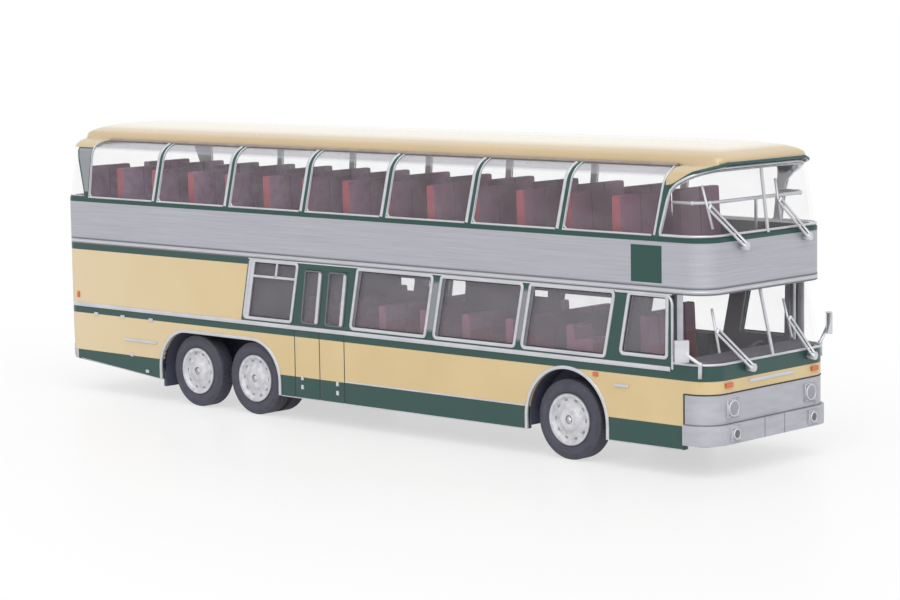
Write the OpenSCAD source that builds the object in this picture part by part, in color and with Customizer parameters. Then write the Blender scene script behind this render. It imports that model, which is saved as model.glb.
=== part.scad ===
// Scale model of a three-axle double-deck touring coach, 1:87, in millimetres.
// +X points forward, +Z up, the right side of the coach is at -Y.
// The wheels stand on z = 0 and the origin lies under the middle of the model.

/* [Body] */
// Overall length of the body
body_l = 139.5; // [118:0.1:160]
// Width of the body at the waist
body_w = 28.7; // [25:0.1:33]
// Height of the roof above the ground
body_h = 46; // [40:0.1:52]
// Thickness of the moulded shell
wall = 0.9; // [0.6:0.05:1.2]
// Radius of the front corners in plan
front_corner_r = 3.6; // [3:0.1:5]
// Radius of the rear corners in plan
rear_corner_r = 2.5; // [1.9:0.1:4]
// Height of the lower edge of the skirt
skirt_z = 3.85; // [3.2:0.05:4.2]
// Rise of the lower edge at the tail
tail_rise = 1.8; // [0.5:0.1:3]
// How far the tail's lower edge lies forward of its top
tail_rake = 1.6; // [0.5:0.1:2.4]

/* [Lower deck] */
// Height of the window sills
sill_z = 15.9; // [15.2:0.1:16.5]
// Height of the strip between the lower windows and the band
head_gap = 0.45; // [0.3:0.05:1]
// Forward lean of the window posts over the window height
post_lean = 1.95; // [0:0.05:2.5]
// Radius of the window corners
window_r = 0.45; // [0.3:0.05:1.2]
// Thickness of the glazing
glass_t = 0.5; // [0.4:0.05:0.7]
// Set-back of the top of the lower windscreen
screen_rake = 2.3; // [0.4:0.1:3]
// Distance of the cab window's front post behind the front
cab_depth = 6.65; // [6.2:0.05:7]

/* [Upper deck] */
// Height of the underside of the silver band
band_z = 25.6; // [24.6:0.1:26.4]
// Height of the top of the silver band
waist_z = 33.3; // [31:0.1:35]
// Where the side glass turns in, as a share of the height from waist to roof top
kink_share = 0.543; // [0.5:0.002:0.6]
// How far the side glass has come in there
kink_in = 0.6; // [0.3:0.05:1.2]
// Lower edge of the roof, as a share of the height from waist to roof top
eaves_share = 0.783; // [0.74:0.002:0.82]
// How far the lower edge of the roof lies in from the side
eaves_in = 3.8; // [3:0.05:4.6]
// Length of the rear corner window
corner_light_l = 6.05; // [5.4:0.05:7]
// Length of the upper windscreen's return along the side
screen_l = 9.25; // [8.6:0.05:10]
// Width of an upper window post
post_w = 1.2; // [0.8:0.1:1.8]
// Forward lean of an upper window post
upper_lean = 1.55; // [0.5:0.05:1.8]
// Set-back of the upper windscreen's foot behind the front
upper_back = 0.85; // [0.6:0.05:1.6]
// Set-back of the upper windscreen at the turn
upper_rake = 0.9; // [0.4:0.1:2.6]
// Set-back of the visor's tip behind the front
visor_back = 0.5; // [0.2:0.05:1.2]

/* [Seats] */
// Number of seat rows on the upper deck
upper_rows = 14; // [8:1:14]
// Number of seat rows on the lower deck
lower_rows = 6; // [4:1:6]
// Width of the aisle
aisle_w = 4.4; // [3.6:0.1:6]
// Thickness of a seat back
back_t = 1.4; // [0.9:0.1:1.6]
// Height of the upper seats, as a share of the height up to the turn of the glass
upper_seat_share = 0.87; // [0.7:0.01:0.95]
// Height of the lower seats, as a share of the height up to the band
lower_seat_share = 0.62; // [0.5:0.01:0.75]

/* [Wheels] */
// Outer radius of the tyres
tyre_r = 5.9; // [5.6:0.05:6.1]
// Width of one tyre
tyre_w = 3.1; // [2.6:0.05:3.3]
// Radius of the wheel rim
rim_r = 3.85; // [3.5:0.05:4.3]
// Radius of the steel axle shafts
shaft_r = 0.6; // [0.5:0.05:0.8]
// Running clearance of a shaft in its bearing
bearing_gap = 0.05; // [0.02:0.01:0.1]
// How far the tyres lie inside the body's side
tyre_in = 0.45; // [0.2:0.05:0.8]
// Distance of the front axle behind the front
front_overhang = 25.95; // [25:0.05:27]
// Distance of the tag axle from the rear
rear_overhang = 32.75; // [31.8:0.05:33.6]
// Distance between the drive axle and the tag axle
bogie_l = 13.8; // [13.2:0.1:14.6]
// Clearance between twin tyres
twin_gap = 0.3; // [0.2:0.05:0.6]
// Room between a front tyre and its arch
front_arch_room = 1.65; // [1:0.05:2.2]
// Room between a rear tyre and its arch
rear_arch_room = 0.45; // [0.4:0.05:1]
// How far the rear arch runs on behind the tag axle's tyre
flap_room = 2.05; // [1:0.05:3]
// Height of the lower edge of the mud flaps
flap_z = 2.5; // [1.5:0.1:3.5]

/* [Hidden] */
$fn = 48;

cream = "#dcc48c";
green = "#1f4c45";
silver = "#b9bcc2";
smoke = "#6f6a72";
maroon = "#7a2b32";
dark = "#3c3f45";
clear = "#dfe6ea";
amber = "#e07a30";
red = "#b83a30";

// Small gaps, so that seated pieces never overlap
fit = 0.05;
over = 1;

// Plan of the body
half = body_w / 2;
bumper_out = 0.5;
front_x = body_l / 2 - bumper_out;
rear_x = -body_l / 2;
front_cx = front_x - front_corner_r;
front_cy = half - front_corner_r;
rear_cx = rear_x + rear_corner_r;
rear_cy = half - rear_corner_r;
// Stretch of lengthwise places where the body is made longer or shorter
along = body_l / 139.5;

// Front panels
panel_l = 4.55;
panel_x = front_x - panel_l;
bumper_z = skirt_z + 0.75;
bumper_top_z = skirt_z + 3.55;
grille_top_z = skirt_z + 7.85;
band_back = 0.6;
cab_post_x = front_x - cab_depth;

// Decks
ledge_h = 0.8;
ledge_w = 0.8;
deck_t = 0.8;
upper_floor_z = band_z + ledge_h + deck_t;
chassis_z = 4.3;
chassis_t = 0.8;
lower_floor_z = 9.2;
glass_in = 0.1;
head_z = band_z - head_gap;

// Lower side windows: left foot, right foot, lean of the left post, lean of the right post, rise of
// the pane's foot above the sill, drop of its head below the others
LEFT = 0;
RIGHT = 1;
LEAN_LEFT = 2;
LEAN_RIGHT = 3;
RISE = 4;
DROP = 5;
door_lean = post_lean * 0.65;
door_drop = 0.9;
cab_rise = 0.7;
windows = [
    [-24.8 * along, -14 * along, post_lean, post_lean, 0, 0],
    [-11.5 * along, -7.75 * along, door_lean, door_lean, 0, door_drop],
    [-6.15 * along, -2.25 * along, door_lean, door_lean, 0, door_drop],
    [-0.5 * along, 15.25 * along, post_lean, post_lean, 0, 0],
    [17.2 * along, 33.25 * along, post_lean, post_lean, 0, 0],
    [34.85 * along, 50.4 * along, post_lean, post_lean, 0, 0],
    [cab_post_x - 9.15 * along, cab_post_x - 0.9, post_lean * 0.87, 0.15, cab_rise, 0]
];

// Door leaf joints on the right side
door_joints = [-13.2 * along, -7.6 * along, -2.1 * along];
groove = 0.25;

// Axles and wheel arches
track_half = half - tyre_in;
front_axle_x = front_x - front_overhang;
tag_axle_x = rear_x + rear_overhang;
drive_axle_x = tag_axle_x + bogie_l;
axle_xs = [front_axle_x, drive_axle_x, tag_axle_x];
front_arch_r = tyre_r + front_arch_room;
rear_arch_r = tyre_r + rear_arch_room;
rear_arch_x = tag_axle_x - rear_arch_r - flap_room;
housing_t = 0.6;
housing_room = 1.1;
single_depth = tyre_w + housing_room;
twin_depth = 2 * tyre_w + twin_gap + housing_room;

// Tail
tail_z = skirt_z + tail_rise;
function tail_x(z) = rear_x + tail_rake * (band_z - z) / (band_z - tail_z);
tail_angle = atan(tail_rake / (band_z - tail_z));
tail_end_x = rear_x + tail_rake + wall + 0.5;
chassis_tail_z = tail_z + 0.4;
rear_bumper_z = tail_z + 0.3;
rear_bumper_h = 2;
rear_bumper_top = rear_bumper_z + rear_bumper_h;
rear_bumper_t = 0.5;

// Bearing blocks
bearing_w = 3.6;
bearing_l = 2.4;
bearing_h = 3.4;
bearing_y = track_half - twin_depth - bearing_l / 2 - 0.5;
shaft_slot = 2 * shaft_r + 1;
spine_w = 8;
spine_t = 0.3;
spine_l = 12;
spine_x = front_axle_x - front_arch_r - spine_l;

// Upper deck
upper_windows = 7;
upper_h = body_h - waist_z;
kink_z = waist_z + kink_share * upper_h;
eaves_z = waist_z + eaves_share * upper_h;
eaves_half = half - eaves_in;
upper_front_x = front_x - upper_back;
visor_x = front_x - visor_back;
first_post_x = rear_x + corner_light_l;
screen_foot_x = front_x - screen_l + post_w / 2;
post_pitch = (screen_foot_x - post_w / 2 - first_post_x) / upper_windows;
frame_t = 0.7;
turn_h = eaves_z - kink_z;
turn_in = eaves_in - kink_in;
turn_steps = [0, 22.5, 45, 67.5, 90];
sill_h = 0.06 * (kink_z - waist_z);
header_h = 0.06 * turn_h;
upper_window_r = 0.075 * (kink_z - waist_z);
rear_post_x = first_post_x - post_w / 2;
rear_post_flare = 2.65;
screen_post_w = 0.5;
screen_post_t = 0.25;
visor_r = 1.6;
visor_lift = 0.45 * turn_h;
cap_z = eaves_z - 0.42 * turn_h;
cap_l = 8.7;

// Inside
cushion_l = 4.6;
cushion_h = 3.6;
seat_y = half - 2.75;
seat_w = seat_y - aisle_w / 2;
seat_top_z = upper_floor_z + upper_seat_share * (kink_z - upper_floor_z);
upper_seat_x = first_post_x - 3.85;
upper_pitch = (screen_foot_x - 10.5 - upper_seat_x) / (upper_rows - 1);
lower_seat_x = drive_axle_x + rear_arch_r + housing_t + 2;
lower_end_x = front_axle_x - front_arch_r - housing_t - cushion_l - 1;
lower_pitch = (lower_end_x - lower_seat_x) / (lower_rows - 1);
lower_seat_h = lower_seat_share * (band_z - lower_floor_z);
box_seat_z = tyre_r + front_arch_r + housing_t + fit;
lower_floor_x = rear_arch_x - housing_t;
dash_x = front_x - 6.65;
guide_seat_x = dash_x - 9.6;
driver_seat_x = dash_x - 15.1;
cab_seat_w = 5;
cab_seat_y = half - 7.85;
cab_seat_h = 12;
steering_r = 2.3;
rail_z = waist_z + 0.7 * (kink_z - waist_z);
rail_d = 0.5;
web_y = 1;
web_t = 0.6;
web_x0 = tag_axle_x - 4;
web_x1 = front_axle_x + 2;
// See-through gaps of the inner web: x of both ends, and the shares of its height
web_gaps = [[-4.8, -1.3, 0.635, 0.755], [0.4, 2, 0.69, 0.75], [5.1, 9.7, 0.58, 0.79], [23.6, 26.7, 0.69, 0.75],
    [28.8, 39.6, 0.59, 0.74]];

// Lamps, mirrors and wipers
headlamp_z = (bumper_top_z + grille_top_z) / 2;
headlamp_d = 2.1;
bezel_w = 2.8;
bezel_h = 2.6;
bezel_proud = 0.25;
socket_depth = 0.15;
lens_crown = 0.12;
fog_z = (bumper_z + bumper_top_z) / 2;
fog_d = 1.3;
fog_bezel_w = 2.3;
fog_bezel_h = 2.1;
lamp_y = front_cy - bezel_w / 2 - 0.15;
indicator_y = half - 4.15;
indicator_z = grille_top_z + 1.2;
indicator_w = 1.6;
indicator_h = 0.65;
lamp_proud = 0.3;
tail_lamp_y = half - 2.75;
tail_lamp_zs = [sill_z - 5, sill_z - 2.6, sill_z - 0.2];
tail_lamp_d = 2;
mirror_foot_z = sill_z - 1.8;
mirror_knee_z = sill_z + 0.2;
mirror_foot_a = 62.5;
mirror_turn = 40;
right_mirror_x = front_x - 3.85;
right_mirror_z = sill_z + 2;
left_mirror_x = front_x - 1.2;
left_mirror_z = sill_z + 2.95;
mirror_w = 2;
mirror_y = half + mirror_w / 2 + 0.4;
mirror_h = 3.1;
mirror_t = 0.8;
mirror_arm_d = 0.5;
mirror_knee_d = 0.7;
mirror_foot_d = 0.6;
wiper_d = 0.36;
wiper_gap = 0.62;
wiper_boss_d = 1.2;
wiper_lift = 0.6;
arm_lift = 0.35;
// Wipers: y and drop of the boss, then y and height of the blade's foot and tip, as shares of half
// width and of the glass height
BOSS_Y = 0;
BOSS_DROP = 1;
FOOT = 2;
TIP = 4;
lower_wiper_table = [[-0.403, 0.95, -0.847, 0.174, -0.839, 0.8], [0.62, 0.95, 0.326, 0.21, 0.303, 0.782]];
upper_wiper_table = [[-0.447, 1.3, -0.877, 0.205, -0.945, 1.08], [0.596, 1.15, 0.192, 0.196, 0.181, 1.08]];

// Unit vector along v
function unit(v) = v / norm(v);

// Corner points of an outline, each replaced by an arc of radius r with n steps
function rounded(pts, r, n = 4) = [
    for (i = [0 : len(pts) - 1])
        let (
            p = pts[i],
            a = unit(pts[(i + len(pts) - 1) % len(pts)] - p),
            b = unit(pts[(i + 1) % len(pts)] - p),
            h = acos(a * b) / 2,
            c = p + unit(a + b) * r / sin(h),
            s = a * r / tan(h) + p - c,
            e = b * r / tan(h) + p - c
        )
        for (k = [0 : n]) c + r * unit(s * (n - k) + e * k)
];

// Points on an arc about c
function arc(c, r, from, to, n) = [
    for (k = [0 : n]) c + r * [cos(from + (to - from) * k / n), sin(from + (to - from) * k / n)]
];

// Plan outline as points, for lofted glass and roof
function outline(front, rear, hw, rf, rr) = concat(
    arc([front - rf, rf - hw], rf, -90, 0, 10),
    arc([front - rf, hw - rf], rf, 0, 90, 10),
    arc([rear + rr, hw - rr], rr, 90, 180, 6),
    arc([rear + rr, rr - hw], rr, 180, 270, 6)
);

// Solid through plan outlines; each level is [z, front, rear, half width, front radius, rear radius]
module loft(levels) {
    rings = [for (l = levels) outline(l[1], l[2], l[3], l[4], l[5])];
    n = len(rings[0]);
    m = len(levels);
    points = [for (j = [0 : m - 1]) for (p = rings[j]) [p[0], p[1], levels[j][0]]];
    sides = [
        for (j = [0 : m - 2]) for (i = [0 : n - 1])
            let (a = j * n + i, b = j * n + (i + 1) % n)
            for (t = [[a, a + n, b + n], [a, b + n, b]]) t
    ];
    floor_face = [for (i = [0 : n - 1]) i];
    top_face = [for (i = [n - 1 : -1 : 0]) (m - 1) * n + i];
    polyhedron(points, concat([floor_face], sides, [top_face]));
}

// Plan of the body with true arcs, shrunk by inset, its front set back
module plan(inset = 0, back = 0) {
    side_y = half - inset;
    cx = front_cx - back;
    translate([rear_cx, -side_y]) square([cx - rear_cx, 2 * side_y]);
    translate([cx - over, -front_cy]) square([over + front_corner_r - inset, 2 * front_cy]);
    translate([rear_x + inset, -rear_cy]) square([over + rear_corner_r - inset, 2 * rear_cy]);
    for (s = [-1, 1]) {
        translate([cx, s * front_cy]) circle(front_corner_r - inset);
        translate([rear_cx, s * rear_cy]) circle(rear_corner_r - inset);
    }
}

// Prism of the plan between two heights
module block(z0, z1, inset = 0, back = 0) {
    translate([0, 0, z0]) linear_extrude(z1 - z0) plan(inset, back);
}

// Extrude a side-view shape across the coach, from y0 to y1
module across(y0, y1) {
    translate([0, y1, 0]) rotate([90, 0, 0]) linear_extrude(y1 - y0) children();
}

// Round bar between two points
module bar(p, q, d) {
    v = q - p;
    translate(p)
        rotate([0, acos(v[2] / norm(v)), atan2(v[1], v[0])])
            cylinder(d = d, h = norm(v), $fn = 16);
}

// Side view of the lower body: level skirt, rising and raked tail
module lower_side(inset = 0) {
    top = band_z;
    polygon([
        [rear_x - over, top], [rear_x + inset, top],
        [rear_x + tail_rake + inset, skirt_z + tail_rise],
        [rear_arch_x, skirt_z], [front_x + over, skirt_z], [front_x + over, top]
    ]);
}

// Side view of one lower window, shrunk by gap
module window_shape(w, gap = 0) {
    foot = sill_z + w[RISE] + gap;
    head = head_z - w[DROP] - gap;
    polygon(rounded([
        [w[LEFT] + gap, foot], [w[RIGHT] - gap, foot],
        [w[RIGHT] + w[LEAN_RIGHT] - gap, head], [w[LEFT] + w[LEAN_LEFT] + gap, head]
    ], window_r));
}

// Side view of both wheel arches, grown by grow
module arch_pair(grow = 0) {
    front_arch(grow);
    rear_arch(grow);
}

module front_arch(grow = 0) {
    r = front_arch_r + grow;
    translate([front_axle_x, tyre_r]) circle(r);
    translate([front_axle_x - r, 0]) square([2 * r, tyre_r]);
}

// One long arch over the drive and tag wheels, square behind, where the mud flap hangs
module rear_arch(grow = 0) {
    r = rear_arch_r + grow;
    aft = tag_axle_x - flap_room;
    for (x = [aft, drive_axle_x]) translate([x, tyre_r]) circle(r);
    translate([aft - r, 0]) square([drive_axle_x - aft + 2 * r, tyre_r]);
    translate([aft, 0]) square([drive_axle_x - aft, tyre_r + r]);
}

// Lower shell
module lower_body() color(cream) difference() {
    intersection() {
        block(skirt_z - over, band_z);
        across(-half - over, half + over) lower_side();
    }
    intersection() {
        block(skirt_z - 2 * over, band_z + over, wall);
        across(-half - over, half + over)
            polygon([
                [rear_x + wall, band_z + over], [rear_x + wall, band_z],
                [tail_x(skirt_z - over) + wall, skirt_z - over], [front_x + over, skirt_z - over],
                [front_x + over, band_z + over]
            ]);
    }
    across(-half - over, half + over) {
        for (w = windows) window_shape(w);
        arch_pair();
        translate([cab_post_x, sill_z]) square([front_x - cab_post_x + over, band_z - sill_z + over]);
        translate([panel_x, 0]) square([front_x - panel_x + over, grille_top_z]);
    }
    for (x = door_joints)
        translate([x - groove / 2, -half - over, skirt_z - over])
            cube([groove, over + groove, sill_z - skirt_z]);
}

// Silver band between the decks, with the ledge that carries the upper floor
module upper_band() color(silver) difference() {
    block(band_z, waist_z, 0, band_back);
    block(band_z + ledge_h, waist_z + over, wall, band_back);
    block(band_z - over, band_z + ledge_h + over, wall + ledge_w, band_back);
}

// Levels of the upper glass, t inside its outer face: upright to the turn, then round into the roof
function glass_levels(t, below = 0, above = 0) = concat(
    [[waist_z - below, upper_front_x - t, rear_x + 0.1 + t, half - t, front_corner_r - t, rear_corner_r - t]],
    [for (a = turn_steps) [kink_z + (turn_h - t) * sin(a), upper_front_x - upper_rake - a / 180 - t,
        rear_x + 0.6 + a / 225 + t, eaves_half + (turn_in - t) * cos(a), front_corner_r - t,
        rear_corner_r + 0.6 - t]],
    above > 0
        ? [[eaves_z + above, upper_front_x - upper_rake - 0.5 - t, rear_x + 1 + t, eaves_half,
            front_corner_r - t, rear_corner_r + 0.6 - t]]
        : []
);

module glass_shell(t) difference() {
    loft(glass_levels(0));
    loft(glass_levels(t, over, over));
}

// Side view of the n-th upper window, shrunk by gap
module upper_window_shape(n, gap = 0) {
    x0 = first_post_x + n * post_pitch + post_w / 2 + gap;
    x1 = first_post_x + (n + 1) * post_pitch - post_w / 2 - gap;
    z0 = waist_z + sill_h + gap;
    z1 = eaves_z - header_h - gap;
    x0_lean = n == 0 ? upper_lean / 3 : upper_lean;
    polygon(rounded([[x0, z0], [x1, z0], [x1 + upper_lean, z1], [x0 + x0_lean, z1]], upper_window_r));
}

// Side view of the opening for the upper windscreen
module upper_screen_shape(gap = 0) {
    z0 = waist_z + sill_h + gap;
    top = eaves_z - gap;
    polygon([
        [screen_foot_x + gap, z0], [front_x + over, z0], [front_x + over, top + 0.1 * turn_h],
        [screen_foot_x + 6.4, top - 0.25 * turn_h], [screen_foot_x + 4.4, top - 0.55 * turn_h],
        [screen_foot_x + 2.5, top - 0.9 * turn_h], [screen_foot_x + 1.3 + gap, top - 1.26 * turn_h]
    ]);
}

// Side view of the opening for the upper rear window
module upper_rear_shape(gap = 0) {
    polygon([
        [rear_x - over, waist_z + sill_h + gap], [rear_post_x - gap, waist_z + sill_h + gap],
        [rear_post_x - rear_post_flare - gap, cap_z - gap], [rear_x - over, cap_z - gap]
    ]);
}

// Side view of all that belongs to the roof: rear cap, eaves, cheeks beside the windscreen, visor
module roof_side() {
    polygon([
        [rear_x - over, cap_z], [rear_x + cap_l - 1.7, cap_z], [rear_x + cap_l - 1.1, eaves_z - 0.15 * turn_h],
        [rear_x + cap_l, eaves_z], [screen_foot_x + 1.45, eaves_z],
        [screen_foot_x + 1, eaves_z - 0.06 * turn_h], [screen_foot_x + 0.6, eaves_z - 0.21 * turn_h],
        [screen_foot_x + 0.5, eaves_z - 0.51 * turn_h], [screen_foot_x + 0.55, eaves_z - 0.87 * turn_h],
        [screen_foot_x + 1.7, eaves_z - 0.82 * turn_h], [screen_foot_x + 2.7, eaves_z - 0.64 * turn_h],
        [screen_foot_x + 4.6, eaves_z - 0.24 * turn_h], [screen_foot_x + 6.4, eaves_z - 0.08 * turn_h],
        [screen_foot_x + 7.2, eaves_z], [front_x + over, eaves_z + visor_lift],
        [front_x + over, body_h + over], [rear_x - over, body_h + over]
    ]);
}

// Posts and rails of the upper windows
module upper_frame() color(green) difference() {
    glass_shell(frame_t);
    across(-half - over, half + over) {
        for (n = [0 : upper_windows - 1]) upper_window_shape(n);
        upper_screen_shape();
        upper_rear_shape();
        roof_side();
    }
}

// Height between the eaves and the roof's crown, by share
function crown_z(share) = eaves_z + share * (body_h - eaves_z);

// Levels of the roof, t inside its outer face
function roof_levels(t, below = 0) = concat(
    [[kink_z - over - below, visor_x - 0.9 - t, rear_x + 0.5 + t, half - kink_in - t, front_corner_r - t, 2]],
    [for (a = turn_steps) [kink_z + (turn_h - t) * sin(a), visor_x - 0.9 + a / 100 - t, rear_x + 0.5 + t,
        eaves_half + (turn_in - t) * cos(a), front_corner_r - a / 60, 2]],
    [
        [crown_z(0.36) - t, visor_x - 0.6 - t, rear_x + 1 + t, eaves_half - 0.15 - t, visor_r, 2],
        [crown_z(0.52) - t, visor_x - 1.2 - t, rear_x + 1.5 + t, eaves_half - 0.8 - t, visor_r, 2],
        [crown_z(0.72) - t, visor_x - 2.4 - t, rear_x + 2.4 + t, eaves_half - 2.5 - t, visor_r, 2],
        [crown_z(0.89) - t, visor_x - 4.6 - t, rear_x + 4.4 + t, eaves_half - 5 - t, visor_r, 2],
        [crown_z(1) - t, visor_x - 8.5 - t, rear_x + 8.4 + t, eaves_half - 7.6 - t, visor_r, 2]
    ]
);

// Roof with its front visor and rear cap
module roof() color(cream) difference() {
    intersection() {
        loft(roof_levels(0));
        across(-half - over, half + over) roof_side();
    }
    intersection() {
        loft(roof_levels(frame_t, over));
        translate([rear_x, -half, 0]) cube([screen_foot_x + 5 - rear_x, body_w, body_h]);
    }
}

// Panes of the lower side windows on the right (side -1) or left (side 1)
module lower_panes(side) {
    y0 = side < 0 ? -half + glass_in : half - glass_in - glass_t;
    across(y0, y0 + glass_t) for (w = windows) window_shape(w, fit);
}

module lower_glazing_right() color(clear) lower_panes(-1);

module lower_glazing_left() color(clear) lower_panes(1);

// Levels of the wrap-round lower windscreen, t inside its outer face
function screen_levels(t, more = 0) = [
    [sill_z + fit - more, front_x - t, rear_x, half - t, front_corner_r - t, rear_corner_r],
    [band_z - fit + more, front_x - screen_rake - t, rear_x, half - t, front_corner_r - t, rear_corner_r]
];

module lower_windscreen() color(clear) difference() {
    loft(screen_levels(0));
    loft(screen_levels(glass_t, over));
    translate([rear_x - over, -half - over, 0])
        cube([cab_post_x + fit - rear_x + over, body_w + 2 * over, body_h]);
}

// Panes of the upper side windows
module upper_panes(side) intersection() {
    glass_shell(glass_t);
    across(side < 0 ? -half - over : over, side < 0 ? -over : half + over)
        difference() {
            for (n = [0 : upper_windows - 1]) upper_window_shape(n, fit);
            offset_roof_side();
        }
}

module offset_roof_side() {
    translate([0, -fit]) roof_side();
}

module upper_glazing_right() color(clear) upper_panes(-1);

module upper_glazing_left() color(clear) upper_panes(1);

module upper_windscreen() color(clear) intersection() {
    glass_shell(glass_t);
    across(-half - over, half + over) difference() {
        upper_screen_shape(fit);
        offset_roof_side();
    }
}

module upper_rear_window() color(clear) intersection() {
    glass_shell(glass_t);
    across(-half - over, half + over) upper_rear_shape(fit);
}

// Point in front of the upper windscreen's middle, where the glass has turned by a
function screen_point(a, out) = [upper_front_x - upper_rake - a / 180 + out, kink_z + turn_h * sin(a)];

// Slim bar down the middle of each windscreen
module windscreen_posts() color(silver) {
    across(-screen_post_w / 2, screen_post_w / 2) {
        polygon([
            [front_x + fit, sill_z + fit], [front_x + fit + screen_post_t, sill_z + fit],
            [front_x - screen_rake + fit + screen_post_t, band_z - fit],
            [front_x - screen_rake + fit, band_z - fit]
        ]);
        polygon(concat(
            [[upper_front_x + fit, waist_z + fit], [upper_front_x + fit + screen_post_t, waist_z + fit]],
            [for (a = [0, 22.5, 45]) screen_point(a, fit + screen_post_t)],
            [for (a = [45, 22.5, 0]) screen_point(a, fit)]
        ));
    }
}

// Skin on the front, from the panel joint forward, between two heights
module front_skin(z0, z1, out) difference() {
    block(z0, z1, -out);
    block(z0 - over, z1 + over, wall);
    translate([rear_x - over, -half - over, z0 - over])
        cube([panel_x + fit - rear_x + over, body_w + 2 * over, z1 - z0 + 2 * over]);
}

// Square bezel on each side of a skin whose face is at x, with a round socket for the lens
module bezels(x, z, w, h, d) difference() {
    union() {
        children();
        for (s = [-1, 1]) translate([x - wall / 2, s * lamp_y - w / 2, z - h / 2])
            cube([wall / 2 + bezel_proud, w, h]);
    }
    for (s = [-1, 1]) translate([x - socket_depth, s * lamp_y, z]) rotate([0, 90, 0])
        cylinder(d = d + 2 * fit, h = over);
}

// Round lens with a bevelled rim in each of those sockets
module lenses(x, z, d) for (s = [-1, 1])
    translate([x - socket_depth + fit, s * lamp_y, z]) rotate([0, 90, 0]) {
        cylinder(d = d, h = socket_depth + bezel_proud);
        translate([0, 0, socket_depth + bezel_proud]) cylinder(d1 = d, d2 = d * 0.6, h = lens_crown);
    }

module grille_panel() color(silver) bezels(front_x, headlamp_z, bezel_w, bezel_h, headlamp_d)
    front_skin(bumper_top_z + fit, grille_top_z - fit, 0);

module front_bumper() color(silver) bezels(front_x + bumper_out, fog_z, fog_bezel_w, fog_bezel_h, fog_d)
    front_skin(bumper_z, bumper_top_z, bumper_out);

// Slim bumper across the raked tail
module rear_bumper() color(silver) intersection() {
    block(0, body_h);
    across(-half, half)
        polygon([
            [tail_x(rear_bumper_z) - fit, rear_bumper_z], [tail_x(rear_bumper_top) - fit, rear_bumper_top],
            [tail_x(rear_bumper_top) - rear_bumper_t, rear_bumper_top],
            [tail_x(rear_bumper_z) - rear_bumper_t, rear_bumper_z]
        ]);
}

// Chassis plate with a bearing block on each side of every axle
module chassis() color(dark) difference() {
    union() {
        intersection() {
            block(0, body_h, wall + fit);
            across(-half, half)
                polygon([
                    [tail_end_x, chassis_tail_z], [rear_arch_x, chassis_z], [front_x, chassis_z],
                    [front_x, chassis_z + chassis_t], [rear_arch_x, chassis_z + chassis_t],
                    [tail_end_x, chassis_tail_z + chassis_t]
                ]);
        }
        for (x = axle_xs) for (s = [-1, 1])
            translate([x - bearing_w / 2, s * bearing_y - bearing_l / 2, chassis_z])
                cube([bearing_w, bearing_l, bearing_h]);
        translate([spine_x, -spine_w / 2, chassis_z - spine_t])
            cube([spine_l, spine_w, spine_t + chassis_t]);
    }
    for (s = [-1, 1]) {
        across(s < 0 ? -half : track_half - single_depth - fit, s < 0 ? fit + single_depth - track_half : half)
            front_arch(housing_t + fit);
        across(s < 0 ? -half : track_half - twin_depth - fit, s < 0 ? fit + twin_depth - track_half : half)
            rear_arch(housing_t + fit);
    }
    for (x = axle_xs)
        translate([x, 0, tyre_r]) rotate([90, 0, 0])
            cylinder(r = shaft_r + bearing_gap, h = body_w, center = true);
}

// Dark housings over the wheels, with the mud flaps behind the tag wheels
module wheel_housings() color(dark) for (s = [-1, 1]) {
    housing(s, single_depth) {
        front_arch(housing_t);
        front_arch();
    }
    housing(s, twin_depth) {
        rear_arch(housing_t);
        rear_arch();
    }
    flap_y = track_half - twin_depth;
    translate([rear_arch_x - housing_t, s < 0 ? fit + wall - half : flap_y, flap_z])
        cube([housing_t, half - wall - fit - flap_y, tyre_r - flap_z]);
}

// One housing: the first child is its outer side view, the second its inner one
module housing(s, depth) {
    y_in = track_half - depth;
    y_out = half - wall - fit;
    difference() {
        across(s < 0 ? -y_out : y_in, s < 0 ? -y_in : y_out) intersection() {
            children(0);
            translate([rear_x, chassis_z]) square([body_l, body_h]);
        }
        across(s < 0 ? -y_out - over : y_in + housing_t, s < 0 ? -y_in - housing_t : y_out + over) children(1);
        for (x = axle_xs)
            translate([x - shaft_slot / 2, s < 0 ? -y_in - over : y_in - over, 0])
                cube([shaft_slot, 2 * over, tyre_r + shaft_slot / 2]);
    }
}

// Upper deck floor, on the ledge of the band
module upper_floor() color(smoke)
    block(upper_floor_z - deck_t, upper_floor_z, wall + fit, band_back);

// Lower deck floor with room for the wheel housings
module lower_floor() color(smoke) difference() {
    block(lower_floor_z - deck_t, lower_floor_z, wall + fit);
    translate([rear_x - over, -half, 0]) cube([lower_floor_x - rear_x + over, body_w, body_h]);
    for (s = [-1, 1]) {
        across(s < 0 ? -half : track_half - single_depth - fit, s < 0 ? fit + single_depth - track_half : half)
            front_arch(housing_t + fit);
        across(s < 0 ? -half : track_half - twin_depth - fit, s < 0 ? fit + twin_depth - track_half : half)
            rear_arch(housing_t + fit);
    }
}

// Double seat facing forward, its back at x = 0, standing on z = 0, its outer side at y = 0
module double_seat(h, w) difference() {
    across(0, w) {
        polygon(rounded([[-0.3, h], [-0.1, 0], [back_t + 0.3, 0], [back_t - 0.3, h]], 0.25, 2));
        polygon(rounded([[0.3, 0], [cushion_l, 0], [cushion_l + 0.3, cushion_h], [0.3, cushion_h - 0.5]],
            0.3, 2));
    }
    translate([-over, w / 2 - groove / 2, cushion_h - 0.5]) cube([cushion_l + 2 * over, groove, h]);
}

module seat_rows(x0, rows, pitch, z, h) for (n = [0 : rows - 1]) for (s = [-1, 1])
    translate([x0 + n * pitch, s < 0 ? -seat_y : seat_y - seat_w, z]) double_seat(h, seat_w);

module upper_seats() color(maroon)
    seat_rows(upper_seat_x, upper_rows, upper_pitch, upper_floor_z, seat_top_z - upper_floor_z);

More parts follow.
